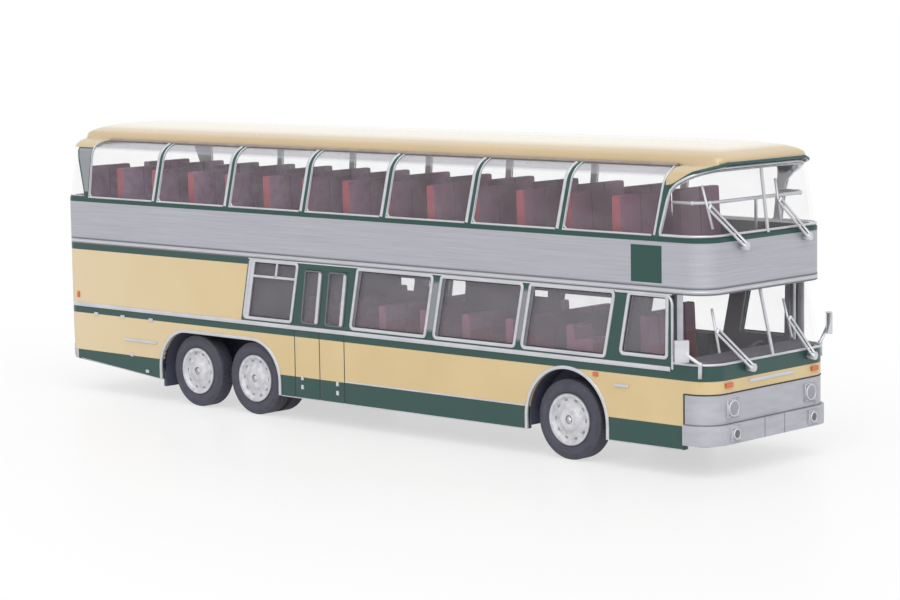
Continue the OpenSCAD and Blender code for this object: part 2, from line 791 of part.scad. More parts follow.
// Seats on the lower floor, and one row on top of the front wheel housings
module lower_seats() color(maroon) {
    seat_rows(lower_seat_x, lower_rows, lower_pitch, lower_floor_z, lower_seat_h);
    for (s = [-1, 1]) translate([front_axle_x - 2, s < 0 ? -seat_y : seat_y - single_depth, box_seat_z])
        double_seat(lower_floor_z + lower_seat_h - box_seat_z, single_depth);
}

// Seats of driver and guide
module cab_seats() color(maroon) for (s = [-1, 1])
    translate([s < 0 ? guide_seat_x : driver_seat_x, s * cab_seat_y - cab_seat_w / 2, lower_floor_z])
        double_seat(cab_seat_h, cab_seat_w);

// Upright web of the inside moulding, with see-through gaps
module inner_web() color(smoke) difference() {
    z0 = lower_floor_z + fit;
    h = band_z + ledge_h - fit - z0;
    translate([web_x0, web_y, z0]) cube([web_x1 - web_x0, web_t, h]);
    for (g = web_gaps)
        translate([g[0] * along, web_y - over, z0 + g[2] * h])
            cube([(g[1] - g[0]) * along, web_t + 2 * over, (g[3] - g[2]) * h]);
}

// Shelf with a cowl under the windscreen
module dashboard() color(dark) intersection() {
    block(0, body_h, wall + fit);
    across(-half, half)
        polygon(rounded([
            [dash_x, lower_floor_z], [front_x + 2, lower_floor_z], [front_x + 2, sill_z - 0.2],
            [dash_x + 1.5, sill_z + 0.6], [dash_x, sill_z - 1.5]
        ], 0.5));
}

module steering_wheel() color(dark)
    translate([dash_x - fit, cab_seat_y, sill_z - 2.2]) rotate([0, -62, 0]) {
        translate([0, 0, 1.6]) rotate_extrude() translate([steering_r, 0]) circle(0.28, $fn = 16);
        translate([0, 0, 1.4]) cylinder(r = 0.7, h = 0.4);
        for (a = [90, 210, 330]) rotate(a) translate([0, 0, 1.6]) rotate([0, 90, 0])
            cylinder(d = 0.4, h = steering_r, $fn = 16);
        cylinder(d = 0.7, h = 1.6, $fn = 16);
    }

// Rail inside the upper windscreen, from post to post, with one upright
module hand_rail() color(silver) {
    x = upper_front_x - upper_rake - 1;
    y = half - 1.65;
    path = [[screen_foot_x + 1, -y], [x - 1.6, 0.2 - y], [x, 2 - y], [x, y - 2], [x - 1.6, y - 0.2],
        [screen_foot_x + 1, y]];
    for (i = [0 : len(path) - 2])
        bar([path[i][0], path[i][1], rail_z], [path[i + 1][0], path[i + 1][1], rail_z], rail_d);
    for (i = [1 : len(path) - 2]) translate([path[i][0], path[i][1], rail_z]) sphere(d = 1.3 * rail_d);
    bar([x, 0, upper_floor_z], [x, 0, rail_z], rail_d * 0.9);
}

// What lies of the children on the front skin, from gap to proud outside it
module front_patch(z0, z1, skin, proud) intersection() {
    difference() {
        block(z0, z1, -skin - proud);
        block(z0 - over, z1 + over, -skin - fit);
    }
    children();
}

module headlamps() color(silver) lenses(front_x, headlamp_z, headlamp_d);

module fog_lamps() color(clear) lenses(front_x + bumper_out, fog_z, fog_d);

module front_indicators() color(amber)
    front_patch(indicator_z - indicator_h / 2, indicator_z + indicator_h / 2, 0, lamp_proud)
        for (s = [-1, 1]) translate([front_cx, s * indicator_y - indicator_w / 2, 0])
            cube([body_l / 4, indicator_w, body_h]);

// Upright pairs of round lamps on the tail
module tail_lamps() color(red) for (s = [-1, 1]) for (z = tail_lamp_zs)
    translate([tail_x(z) - fit, s * tail_lamp_y, z]) rotate([0, -90 - tail_angle, 0])
        cylinder(d = tail_lamp_d, h = lamp_proud);

// Mirror: an upright foot on the front corner, an arm, and a head turned towards the driver
module door_mirror(side, x, z) {
    stand = front_corner_r + fit + mirror_knee_d / 2;
    foot = [front_cx + stand * cos(mirror_foot_a), side * (front_cy + stand * sin(mirror_foot_a)),
        mirror_foot_z];
    knee = [foot[0], foot[1], mirror_knee_z];
    head = [x, side * mirror_y, z];
    bar(foot, knee, mirror_foot_d);
    translate(knee) sphere(d = mirror_knee_d);
    bar(knee, head, mirror_arm_d);
    translate(head) rotate([0, 0, side * mirror_turn]) cube([mirror_t, mirror_w, mirror_h], center = true);
}

module mirror_right() color(silver) door_mirror(-1, right_mirror_x, right_mirror_z);

module mirror_left() color(silver) door_mirror(1, left_mirror_x, left_mirror_z);

// X at y of a face lying out from the front, for a front of half width hw
function front_at(y, out = 0, hw = half) =
    let (cy = hw - front_corner_r)
    abs(y) < cy
        ? front_x + out
        : front_cx + sqrt(max(0, pow(front_corner_r + out, 2) - pow(abs(y) - cy, 2)));

// Points out from the windscreens, from a y and a height given as shares
function over_lower_glass(w, i, out = wiper_lift) =
    let (y = w[i] * half, share = w[i + 1])
    [front_at(y, out) - screen_rake * share, y, sill_z + share * (band_z - sill_z)];

function over_upper_glass(w, i, out = wiper_lift) =
    let (hw = half - kink_in * w[i + 1], y = w[i] * hw, share = w[i + 1])
    [front_at(y, out, hw) - upper_back - upper_rake * share, y, waist_z + share * (kink_z - waist_z)];

// One wiper: its boss, a pair of parallel arms to the hinge, and the blade that hangs from it
module wiper(boss, foot, tip, hinge) {
    top = boss + [wiper_lift + arm_lift, 0, 0];
    beside = unit(cross(hinge - top, [1, 0, 0])) * wiper_gap / 2;
    translate(boss) rotate([0, 90, 0])
        cylinder(d = wiper_boss_d, h = wiper_lift + arm_lift + wiper_d * 0.7, $fn = 24);
    for (s = [-1, 1]) bar(top + s * beside, hinge + s * beside, wiper_d);
    bar(hinge - 1.3 * beside, hinge + 1.3 * beside, wiper_d * 1.2);
    bar(hinge, (foot + tip) / 2, wiper_d);
    bar(foot, tip, wiper_d);
}

module lower_wipers() color(silver) for (w = lower_wiper_table)
    wiper([front_x + fit, w[BOSS_Y] * half, sill_z - w[BOSS_DROP]], over_lower_glass(w, FOOT),
        over_lower_glass(w, TIP), (over_lower_glass(w, FOOT, wiper_lift + arm_lift)
        + over_lower_glass(w, TIP, wiper_lift + arm_lift)) / 2);

module upper_wipers() color(silver) for (w = upper_wiper_table)
    wiper([front_x - band_back + fit, w[BOSS_Y] * half, waist_z - w[BOSS_DROP]], over_upper_glass(w, FOOT),
        over_upper_glass(w, TIP), (over_upper_glass(w, FOOT, wiper_lift + arm_lift)
        + over_upper_glass(w, TIP, wiper_lift + arm_lift)) / 2);

// Wheels: a tyre and a dished rim, as revolved profiles along y
module tyre_ring() rotate([90, 0, 0]) rotate_extrude() difference() {
    translate([rim_r + fit, -tyre_w / 2])
        polygon(rounded([
            [0, 0.2], [tyre_r - rim_r - fit - 0.9, 0], [tyre_r - rim_r - fit, 0.35],
            [tyre_r - rim_r - fit, tyre_w - 0.35], [tyre_r - rim_r - fit - 0.9, tyre_w], [0, tyre_w - 0.2]
        ], 0.15, 2));
}

// Dished rim, its face towards +y
module rim_disc() rotate([-90, 0, 0]) rotate_extrude()
    polygon([
        [shaft_r + fit, -tyre_w / 2 + 0.3], [rim_r, -tyre_w / 2 + 0.3], [rim_r, tyre_w / 2 - 0.1],
        [rim_r - 0.5, tyre_w / 2 - 0.1], [rim_r - 0.8, tyre_w / 2 - 0.6], [rim_r * 0.5, tyre_w / 2 - 0.3],
        [rim_r * 0.42, tyre_w / 2], [rim_r * 0.3, tyre_w / 2 + 0.05], [shaft_r + fit, tyre_w / 2 + 0.05]
    ]);

module wheels_at(x, twin) for (s = [-1, 1]) for (k = twin ? [0, 1] : [0])
    translate([x, s * (track_half - tyre_w / 2 - k * (tyre_w + twin_gap)), tyre_r])
        mirror([0, s < 0 ? 1 : 0, 0]) children();

module axle_shaft(x) color(silver)
    translate([x, 0, tyre_r]) rotate([90, 0, 0])
        cylinder(r = shaft_r, h = 2 * track_half - 0.4, center = true);

module front_axle_shaft() axle_shaft(front_axle_x);

module front_rims() color(silver) wheels_at(front_axle_x, false) rim_disc();

module front_tyres() color(dark) wheels_at(front_axle_x, false) tyre_ring();

module drive_axle_shaft() axle_shaft(drive_axle_x);

module drive_rims() color(silver) wheels_at(drive_axle_x, true) rim_disc();

module drive_tyres() color(dark) wheels_at(drive_axle_x, true) tyre_ring();

module tag_axle_shaft() axle_shaft(tag_axle_x);

module tag_rims() color(silver) wheels_at(tag_axle_x, false) rim_disc();

module tag_tyres() color(dark) wheels_at(tag_axle_x, false) tyre_ring();

chassis();
wheel_housings();
lower_body();
upper_band();
upper_frame();
roof();
grille_panel();
front_bumper();
rear_bumper();
lower_glazing_right();
lower_glazing_left();
lower_windscreen();
upper_glazing_right();
upper_glazing_left();
upper_windscreen();
upper_rear_window();
windscreen_posts();
upper_floor();
upper_seats();
lower_floor();
lower_seats();
cab_seats();
inner_web();
dashboard();
steering_wheel();
hand_rail();
headlamps();
fog_lamps();
front_indicators();
tail_lamps();
mirror_right();
mirror_left();
lower_wipers();
upper_wipers();
front_axle_shaft();
front_rims();
front_tyres();
drive_axle_shaft();
drive_rims();
drive_tyres();
tag_axle_shaft();
tag_rims();
tag_tyres();
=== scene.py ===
# %% [markdown]
# A scale model of a three-axle double-deck coach, dressed for its portrait.
# The solids come from the CAD frame, in metres, and stay where they are. This script adds what the CAD
# leaves out: paint, trim, window frames, wheel nuts and small fittings. Every measure below is in
# millimetres, because the model is only 140 mm long, and MM turns it into metres.

# %% Load the frame
import math

import bmesh
import bpy
from mathutils import Matrix, Vector


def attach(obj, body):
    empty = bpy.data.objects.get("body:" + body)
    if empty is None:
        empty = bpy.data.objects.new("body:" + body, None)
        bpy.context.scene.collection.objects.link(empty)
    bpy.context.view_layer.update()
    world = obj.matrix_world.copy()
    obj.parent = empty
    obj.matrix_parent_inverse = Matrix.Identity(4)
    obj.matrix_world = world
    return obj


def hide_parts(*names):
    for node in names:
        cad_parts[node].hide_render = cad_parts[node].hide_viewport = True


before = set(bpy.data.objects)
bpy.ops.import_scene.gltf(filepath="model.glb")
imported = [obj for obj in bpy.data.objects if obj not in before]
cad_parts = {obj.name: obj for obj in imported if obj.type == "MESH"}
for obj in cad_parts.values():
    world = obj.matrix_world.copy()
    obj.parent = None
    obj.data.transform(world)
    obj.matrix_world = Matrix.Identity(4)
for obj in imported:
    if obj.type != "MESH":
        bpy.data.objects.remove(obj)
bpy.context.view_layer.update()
MM = 0.001

# %% [markdown]
# The camera stands where the photographer stood, in front of the coach and to its right. A long lens
# far away keeps the sides nearly parallel. The three axes are worked out one by one, because the horizon
# is tilted by a little less than one degree, which a plain Track To constraint would not give.

# %% Camera
AZIMUTH = math.radians(42.98)
ELEVATION = math.radians(6.8245)
TILT = math.radians(-0.89)
AIM = Vector((7.272, 0, 19.433))
DISTANCE = 414.78
PHOTO_WIDTH = 900
FOCAL_PIXELS = 2642.66
SENSOR = 36

back = Vector((math.sin(AZIMUTH) * math.cos(ELEVATION), -math.cos(AZIMUTH) * math.cos(ELEVATION),
               math.sin(ELEVATION)))
level_right = Vector((math.cos(AZIMUTH), math.sin(AZIMUTH), 0))
level_up = back.cross(level_right)
right = level_right * math.cos(TILT) + level_up * math.sin(TILT)
up = level_up * math.cos(TILT) - level_right * math.sin(TILT)

lens = bpy.data.cameras.new("portrait_camera")
lens.sensor_fit = "HORIZONTAL"
lens.sensor_width = SENSOR
lens.lens = FOCAL_PIXELS * SENSOR / PHOTO_WIDTH
lens.clip_start = 0.01
lens.clip_end = 20
camera = bpy.data.objects.new("portrait_camera", lens)
place = Matrix((right, up, back)).transposed().to_4x4()
place.translation = (AIM + back * DISTANCE) * MM
camera.matrix_world = place
bpy.context.scene.collection.objects.link(camera)
bpy.context.scene.camera = camera
print("lens:", round(lens.lens, 1), "mm at", [round(v, 3) for v in place.translation])

# %% [markdown]
# Shader nodes are wordy to wire by hand. Value wraps a socket so that ordinary Python sums add Math
# nodes, and Finish is one material with a single method that adds any other node. A mask is a number
# from 0 to 1 over the surface, and paint is laid on by mixing colours through masks.

# %% Shader maths
class Value:
    """A socket that ordinary sums work on."""

    def __init__(self, finish, socket):
        self.finish = finish
        self.socket = socket

    def out(self, name):
        return Value(self.finish, self.socket.node.outputs[name])

    def calc(self, operation, a, b=0.0):
        return self.finish.node("Math", {0: a, 1: b}, operation=operation)

    def __add__(self, other):
        return self.calc("ADD", self, other)

    def __radd__(self, other):
        return self.calc("ADD", other, self)

    def __sub__(self, other):
        return self.calc("SUBTRACT", self, other)

    def __rsub__(self, other):
        return self.calc("SUBTRACT", other, self)

    def __mul__(self, other):
        return self.calc("MULTIPLY", self, other)

    def __rmul__(self, other):
        return self.calc("MULTIPLY", other, self)

    def __truediv__(self, other):
        return self.calc("DIVIDE", self, other)

    def __abs__(self):
        return self.calc("ABSOLUTE", self)

    def __pow__(self, other):
        return self.calc("POWER", self, other)


class Finish:
    """One material, or the world, built from nodes."""

    def __init__(self, name, library=bpy.data.materials, output="OutputMaterial"):
        self.material = library.new(name)
        self.material.use_nodes = True
        self.tree = self.material.node_tree
        self.tree.nodes.clear()
        self.output = self.tree.nodes.new("ShaderNode" + output)

    def node(self, kind, sockets=None, **settings):
        made = self.tree.nodes.new("ShaderNode" + kind)
        for key, value in settings.items():
            setattr(made, key, value)
        for key, value in (sockets or {}).items():
            found = made.inputs[key] if isinstance(key, int) else next(
                s for s in made.inputs if key in (s.identifier, s.name))
            if isinstance(value, Value):
                self.tree.links.new(value.socket, found)
            else:
                found.default_value = value
        return Value(self, next(s for s in made.outputs if s.enabled))

    def place_mm(self):
        """Object coordinates in millimetres: the vector, then x, y and z."""
        there = self.node("TexCoord").out("Object")
        scaled = self.node("VectorMath", {0: there, "Scale": 1 / MM}, operation="SCALE")
        split = self.node("SeparateXYZ", {"Vector": scaled})
        return scaled, split, split.out("Y"), split.out("Z")

    def facing(self):
        """The way the surface faces, split into x, y and z."""
        return self.node("SeparateXYZ", {"Vector": self.node("NewGeometry").out("Normal")})

    def rise(self, value, low, high):
        """0 below low, 1 above high, even in between."""
        return self.node("MapRange", {"Value": value, "From Min": low, "From Max": high})

    def step(self, value, edge, soft=0.03):
        return self.rise(value, edge - soft, edge + soft)

    def between(self, value, low, high, soft=0.03):
        return self.step(value, low, soft) * (1 - self.step(value, high, soft))

    def mix(self, mask, under, over):
        return self.node("Mix", {"Factor_Float": mask, "A_Color": under, "B_Color": over}, data_type="RGBA")

    def noise(self, vector, scale, detail=3.0, roughness=0.5):
        return self.node("TexNoise", {"Vector": vector, "Scale": scale, "Detail": detail,
                                      "Roughness": roughness})

    def stretched(self, vector, x, y, z):
        return self.node("VectorMath", {0: vector, 1: (x, y, z)}, operation="MULTIPLY")

    def bump(self, height, distance):
        return self.node("Bump", {"Height": height, "Distance": distance * MM})

    def done(self, **sockets):
        """A Principled shader with these sockets, as the finished surface."""
        named = {key.replace("_", " "): value for key, value in sockets.items()}
        return self.surface(self.node("BsdfPrincipled", named))

    def surface(self, shader):
        self.tree.links.new(shader.socket, self.output.inputs["Surface"])
        return self.material


def colour(text):
    """A colour written as web hex, in the linear values that sockets want."""
    levels = [int(text[i:i + 2], 16) / 255 for i in (1, 3, 5)]
    return tuple(c / 12.92 if c < 0.04045 else ((c + 0.055) / 1.055) ** 2.4 for c in levels) + (1.0,)


def darker(base, share):
    return tuple(c * share for c in base[:3]) + (1,)


print("shader helpers ready")

# %% [markdown]
# A model this small is photographed in a light tent: soft light from everywhere, with a little more
# from above and in front. One broad sun and an even sky do that. Camera, mirror and glass rays see a
# white sky, and the pale table fades to white away from the coach, so only its soft shadow is drawn.

# %% Light and table
scene = bpy.context.scene
scene.view_settings.view_transform = "Standard"
SKY_LEVEL = 0.62
SUN_LEVEL = 1.7
SUN_SPREAD = math.radians(70)
SUN_FROM = Vector((0.55, -0.62, 0.95))
TABLE_GLOW = 0.6
GLOW_STRETCH = 1.7
GLOW_FROM = 45.0
GLOW_TO = 120.0


def placed(name, data):
    made = bpy.data.objects.new(name, data)
    scene.collection.objects.link(made)
    return made


tent = Finish("light_tent", bpy.data.worlds, "OutputWorld")
rays = tent.node("LightPath")
seen = rays.calc("MAXIMUM", rays.out("Is Camera Ray"), rays.out("Is Glossy Ray"))
through = rays.calc("MAXIMUM", seen, rays.out("Is Transmission Ray"))
level = tent.node("MapRange", {"Value": through, "To Min": SKY_LEVEL, "To Max": 1.0})
scene.world = tent.surface(tent.node("Background", {"Color": (1, 1, 1, 1), "Strength": level}))

sun = bpy.data.lights.new("tent_top", "SUN")
sun.energy = SUN_LEVEL
sun.angle = SUN_SPREAD
lamp = placed("tent_top", sun)
lamp.rotation_euler = SUN_FROM.to_track_quat("Z", "Y").to_euler()

table_top = Finish("table_top")
_, tx, ty, _ = table_top.place_mm()
away = ((tx / GLOW_STRETCH) ** 2 + ty ** 2) ** 0.5
fade = TABLE_GLOW + (1 - TABLE_GLOW) * table_top.rise(away, GLOW_FROM, GLOW_TO)
ray = table_top.node("LightPath")
seen_ray = ray.calc("MAXIMUM", ray.out("Is Camera Ray"), ray.out("Is Glossy Ray"))
lit = table_top.node("BsdfPrincipled", {"Base Color": (0.93, 0.93, 0.945, 1), "Roughness": 0.35})
white = table_top.node("Emission", {"Color": (1, 1, 1, 1), "Strength": 1.0})
table_top.surface(table_top.node("MixShader", {0: fade * seen_ray, 1: lit, 2: white}))

TABLE = 4000
TABLE_Z = -0.02
table_mesh = bpy.data.meshes.new("table")
corners = [(-TABLE, -TABLE), (TABLE, -TABLE), (TABLE, TABLE), (-TABLE, TABLE)]
table_mesh.from_pydata([(x * MM, y * MM, TABLE_Z * MM) for x, y in corners], [], [(0, 1, 2, 3)])
table_mesh.materials.append(table_top.material)
table = placed("table", table_mesh)
print("sky", SKY_LEVEL, "sun", SUN_LEVEL)

# %% [markdown]
# The paint scheme of the lower body is masked and sprayed on the real model: a cream body, a green
# skirt and belt, green round the doors and the cab window. Here one material reads the place on the
# body in millimetres, and each stripe is a mask between two heights.

# %% Body measures
HALF = 14.35
FRONT_X = 69.25
REAR_X = -69.75
CORNER_R = 3.6
REAR_R = 2.5
SKIRT_TOP = 7.19
BELT_LOW = 13.58
BELT_HIGH = 14.7
TRIM_HIGH = 15.34
SILL = 15.9
HEAD = 25.15
BAND_LOW = 25.6
WAIST = 33.3
KINK = 40.196
KINK_IN = 0.6
EAVES = 43.244
EAVES_HALF = 10.55
CAP_Z = 41.96
TURN = EAVES - KINK
LEAN = 1.95
DOOR_SHARE = 0.65
SKIN = 0.6

REAR_WINDOW_X = -25.45
REAR_STRIPE = (24.5, 25.55)
FIRST_WIDE_X = -0.9
POST_TIP = 0.9
DOOR_ZONE = (-13.75, -1.45)
DOOR_HIGH = 25.3
DOOR_JOINTS = (-13.2, -7.6, -2.1)
JOINT_HALF = 0.2
CAB_X = 50.75
CAB_HIGH = 25.35
CAB_INNER_X = 48.0
FRONT_BELT_X = 61.6
FRONT_BELT_HIGH = 16.2
PALE_REAR = (15.0, 68.0)
BUMPER_END_X = -67.1
INSIDE_X = (-67.0, 65.0)

CREAM = colour("#d8c191")
REAR_CREAM_PAINTED_LIGHT = colour("#dcc8a3")
ROOF_SIDE = colour("#cdb489")
ROOF_TOP_HIGHLIGHT = colour("#ebe1cb")
GREEN = colour("#1d4640")
SILVER = colour("#b4b5bd")
BRIGHT = colour("#d2d3d8")
SHADOW_GREY = colour("#55555f")
INNER = colour("#5f5862")
# Seat colours in painted light: a shaded face, a paler rear face that paints a reflection, and a lit red.
SEAT_SHADED_FACE = colour("#945f79")
SEAT_REAR_REFLECTION = colour("#ab8bac")
SEAT_DARK = colour("#845c75")
SEAT_LIT_RED = colour("#963f4a")
BEND_SHEEN_GREY = colour("#a3a2ab")
TYRE = colour("#42424d")
TYRE_DUST = colour("#4d4d5a")
CAB_INNER_PAINTED_LIGHT = colour("#7b7480")


def inside_of(paint, x, y, ends):
    """A mask of the inner faces of a shell, between its two ends."""
    mask = (1 - paint.step(abs(y), HALF - SKIN, 0.05)) * (1 - paint.step(x, ends[1]))
    return mask * paint.step(x, ends[0])


def body_paint():
    paint = Finish("coach_paint")
    at, x, y, z = paint.place_mm()
    slant = (z - SILL) * (LEAN / (HEAD - SILL))
    upright = x - slant
    upper = paint.step(z, TRIM_HIGH)
    glazed = paint.step(upright, REAR_WINDOW_X)
    window_zone = upper * glazed
    rear_stripe = paint.between(z, *REAR_STRIPE) * (1 - glazed)
    posts = window_zone * paint.between(z, TRIM_HIGH, HEAD + 0.2)
    plain = (paint.between(z, SILL + POST_TIP, HEAD - POST_TIP, 0.3)
             * paint.between(upright, FIRST_WIDE_X, CAB_X))
    doorway = upper * paint.between(x - slant * DOOR_SHARE, *DOOR_ZONE) * (1 - paint.step(z, DOOR_HIGH))
    cab = upper * paint.step(upright, CAB_X) * (1 - paint.step(z, CAB_HIGH))
    front_belt = paint.step(x, FRONT_BELT_X) * paint.between(z, BELT_LOW, FRONT_BELT_HIGH)
    green = paint.between(z, BELT_LOW, BELT_HIGH)
    for mask in (1 - paint.step(z, SKIRT_TOP), rear_stripe, posts, doorway, cab, front_belt):
        green = green.calc("MAXIMUM", green, mask)
    trim = paint.between(z, BELT_HIGH, TRIM_HIGH) * (1 - paint.step(x, FRONT_BELT_X))
    bright = trim.calc("MAXIMUM", trim, window_zone)
    tone = paint.noise(at, 0.09)
    cream = paint.mix(paint.rise(tone, 0.35, 0.65), CREAM, colour("#d3bb8a"))
    # Painted light: the cream is painted paler towards the rear.
    cream = paint.mix(paint.rise(0 - x, *PALE_REAR), cream, REAR_CREAM_PAINTED_LIGHT)
    body = paint.mix(bright, cream, BRIGHT)
    body = paint.mix(green, body, GREEN)
    body = paint.mix(posts * plain, body, colour("#86898e"))
    bumper_end = (1 - paint.step(x, BUMPER_END_X)) * (1 - paint.step(z, SKIRT_TOP))
    body = paint.mix(bumper_end, body, SILVER)
    joints = 0.0
    for place in DOOR_JOINTS:
        joints = joints + paint.between(x, place - JOINT_HALF, place + JOINT_HALF)
    body = paint.mix(joints * (1 - paint.step(abs(y), HALF - 0.08, 0.02)), body, SHADOW_GREY)
    # Painted light: forward of the cab's edge the inside is painted lighter than the inner plastic.
    inner = paint.mix(paint.step(x, CAB_INNER_X), INNER, CAB_INNER_PAINTED_LIGHT)
    body = paint.mix(inside_of(paint, x, y, INSIDE_X), body, inner)
    grain = paint.noise(at, 9.0, 2.0)
    rough = 0.34 + 0.1 * paint.noise(at, 0.6)
    return paint.done(Base_Color=body, Roughness=rough, Normal=paint.bump(grain, 0.004),
                      Coat_Weight=0.15, Coat_Roughness=0.2)


coach_paint = body_paint()
print("painted:", coach_paint.name)

# %% [markdown]
# The band between the decks is printed in dull silver, with fine lines that run along it like brushed
# sheet. Noise squeezed tall and drawn out long gives those lines. Painted shade darkens a groove low
# on the band, and a green line closes it at the top.

# %% Silver band, roof and window posts
BAND_GROOVE = (26.3, 26.6)
PLATE_X = (55.4, 60.9)
PLATE_Z = (26.9, 32.15)
TOP_LINE = 32.73
BAND_INSIDE_X = (-69.2, 64.9)
ROOF_HIGHLIGHT_Z = (44.95, 45.5)
SOFFIT_X = 60.0
QUARTER_REAR = (-64.3, -2.65)
QUARTER_FRONT = (-63.1, 0.52)
END_X = 66.0


def band_paint():
    paint = Finish("band_silver")
    at, x, y, z = paint.place_mm()
    lines = paint.noise(paint.stretched(at, 0.06, 0.06, 5.0), 1.0, 4.0)
    fine = paint.noise(paint.stretched(at, 0.25, 0.25, 16.0), 1.0, 2.0)
    streak = paint.rise(lines * 0.6 + fine * 0.4, 0.3, 0.7)
    body = paint.mix(streak, colour("#a3a4ad"), colour("#bcbcc4"))
    # Painted shade round the groove.
    groove_shade = paint.between(z, *BAND_GROOVE, 0.15)
    body = paint.mix(groove_shade * 0.6, body, SHADOW_GREY)
    body = paint.mix(paint.between(z, BAND_LOW, BAND_GROOVE[0]), body, colour("#bfc0c6"))
    plate = paint.between(x, *PLATE_X) * paint.between(z, *PLATE_Z)
    green = plate.calc("MAXIMUM", plate, paint.step(z, TOP_LINE))
    body = paint.mix(green, body, GREEN)
    body = paint.mix(inside_of(paint, x, y, BAND_INSIDE_X), body, INNER)
    metal = 0.35 * (1 - green)
    return paint.done(Base_Color=body, Metallic=metal, Roughness=0.4 + 0.1 * streak,
                      Normal=paint.bump(streak, 0.01))


def roof_paint():
    paint = Finish("roof_cream")
    at, x, _, z = paint.place_mm()
    tone = paint.noise(at, 0.07)
    grain = paint.noise(at, 8.0, 2.0)
    facing = paint.facing()
    side = paint.mix(paint.rise(tone, 0.3, 0.7), ROOF_SIDE, colour("#c6af87"))
    # Painted highlight: above its crown line the roof is painted paler, as the glare of the top light.
    body = paint.mix(paint.rise(z, *ROOF_HIGHLIGHT_Z), side, ROOF_TOP_HIGHLIGHT)
    soffit = paint.step(x, SOFFIT_X) * (1 - paint.step(facing.out("Z"), -0.3, 0.1))
    body = paint.mix(soffit, body, GREEN)
    return paint.done(Base_Color=body, Roughness=0.2 + 0.1 * paint.noise(at, 0.5),
                      Normal=paint.bump(grain, 0.003), Coat_Weight=0.8, Coat_Roughness=0.06)


def post_paint():
    paint = Finish("post_green")
    at, x, y, z = paint.place_mm()
    tone = paint.noise(at, 0.8)
    body = paint.mix(paint.rise(tone, 0.3, 0.7), GREEN, colour("#2b524c"))
    share = (z - WAIST) / (CAP_Z - WAIST)
    left = QUARTER_REAR[0] + QUARTER_REAR[1] * share
    right = QUARTER_FRONT[0] + QUARTER_FRONT[1] * share
    fill = paint.step(x - left, 0.4) * paint.step(right - x, 0.4)
    fill = fill * paint.between(z, WAIST + 1.2, CAP_Z - 0.2)
    body = paint.mix(fill, body, colour("#8d9095"))
    # The inner faces are the clear plastic's light grey, painted near white beyond that as painted light,
    # against the shade inside the coach.
    facing = paint.facing()
    outward = facing.out("Y") * y + 2.0 * facing.out("Z")
    ahead = facing * (paint.step(x, END_X) - (1 - paint.step(x, -END_X))) * 6.0
    inside = 1 - paint.step(outward.calc("MAXIMUM", outward, ahead), 2.5, 0.5)
    body = paint.mix(inside, body, colour("#eeeef2"))
    grain = paint.noise(at, 9.0, 2.0)
    return paint.done(Base_Color=body, Roughness=0.35 + 0.1 * tone, Normal=paint.bump(grain, 0.004))


def bright_metal(name, base, rough=0.32, metal=0.55):
    finish = Finish(name)
    at = finish.place_mm()[0]
    mottle = finish.noise(finish.stretched(at, 0.25, 0.25, 1.2), 1.0, 3.0)
    body = finish.mix(finish.rise(mottle, 0.3, 0.7), darker(base, 0.86), base)
    grain = finish.noise(at, 6.0, 2.0)
    return finish.done(Base_Color=body, Metallic=metal, Roughness=rough + 0.1 * mottle,
                       Normal=finish.bump(grain, 0.003))


band_silver = band_paint()
roof_cream = roof_paint()
post_green = post_paint()
trim_silver = bright_metal("trim_silver", BRIGHT)
front_silver = bright_metal("front_silver", colour("#babbc2"), 0.4, 0.4)
steel = bright_metal("drawn_steel", colour("#b8babd"), 0.28, 0.9)
front_grey = bright_metal("front_grey", colour("#85868d"), 0.45, 0.3)
nut_grey = bright_metal("nut_grey", colour("#97979c"), 0.4, 0.4)
groove_grey = bright_metal("groove_grey", colour("#74747b"), 0.5, 0.2)
mirror_glass = bright_metal("mirror_glass", colour("#c9ced2"), 0.08, 0.95)
print("paints:", band_silver.name, roof_cream.name, post_green.name, trim_silver.name)

# %% [markdown]
# The windows are clear moulded plastic. A Principled shader that is mostly see-through, with soft
# smears in its opacity, keeps the white table and the seats visible through both walls. Where the
# upper panes bend into the roof they catch the light; that sheen is painted on as a greyer, less clear
# band.

# %% Glazing, seats and inside
BEND_Z = (41.5, 42.1)
BEND_END = 61.5
BEND_SHEEN_ALPHA = 0.37
SEAT_SHADE_X = (-62.0, 45.0)
OUTER_SEAT = 11.3
PAD_TOP = 17.0
LOWER_LIT_RED = 0.45


def glazing(name, tint, low, high):
    pane = Finish(name)
    at, x, _, z = pane.place_mm()
    smear = pane.noise(pane.stretched(at, 0.2, 0.2, 0.35), 1.0, 3.0)
    # Painted reflection: the bend is greyer and less see-through.
    bend_sheen = pane.rise(z, *BEND_Z) * (1 - pane.step(x, BEND_END))
    return pane.done(Base_Color=pane.mix(bend_sheen, tint, BEND_SHEEN_GREY), Roughness=0.06,
                     Alpha=low + (high - low) * smear + BEND_SHEEN_ALPHA * bend_sheen)


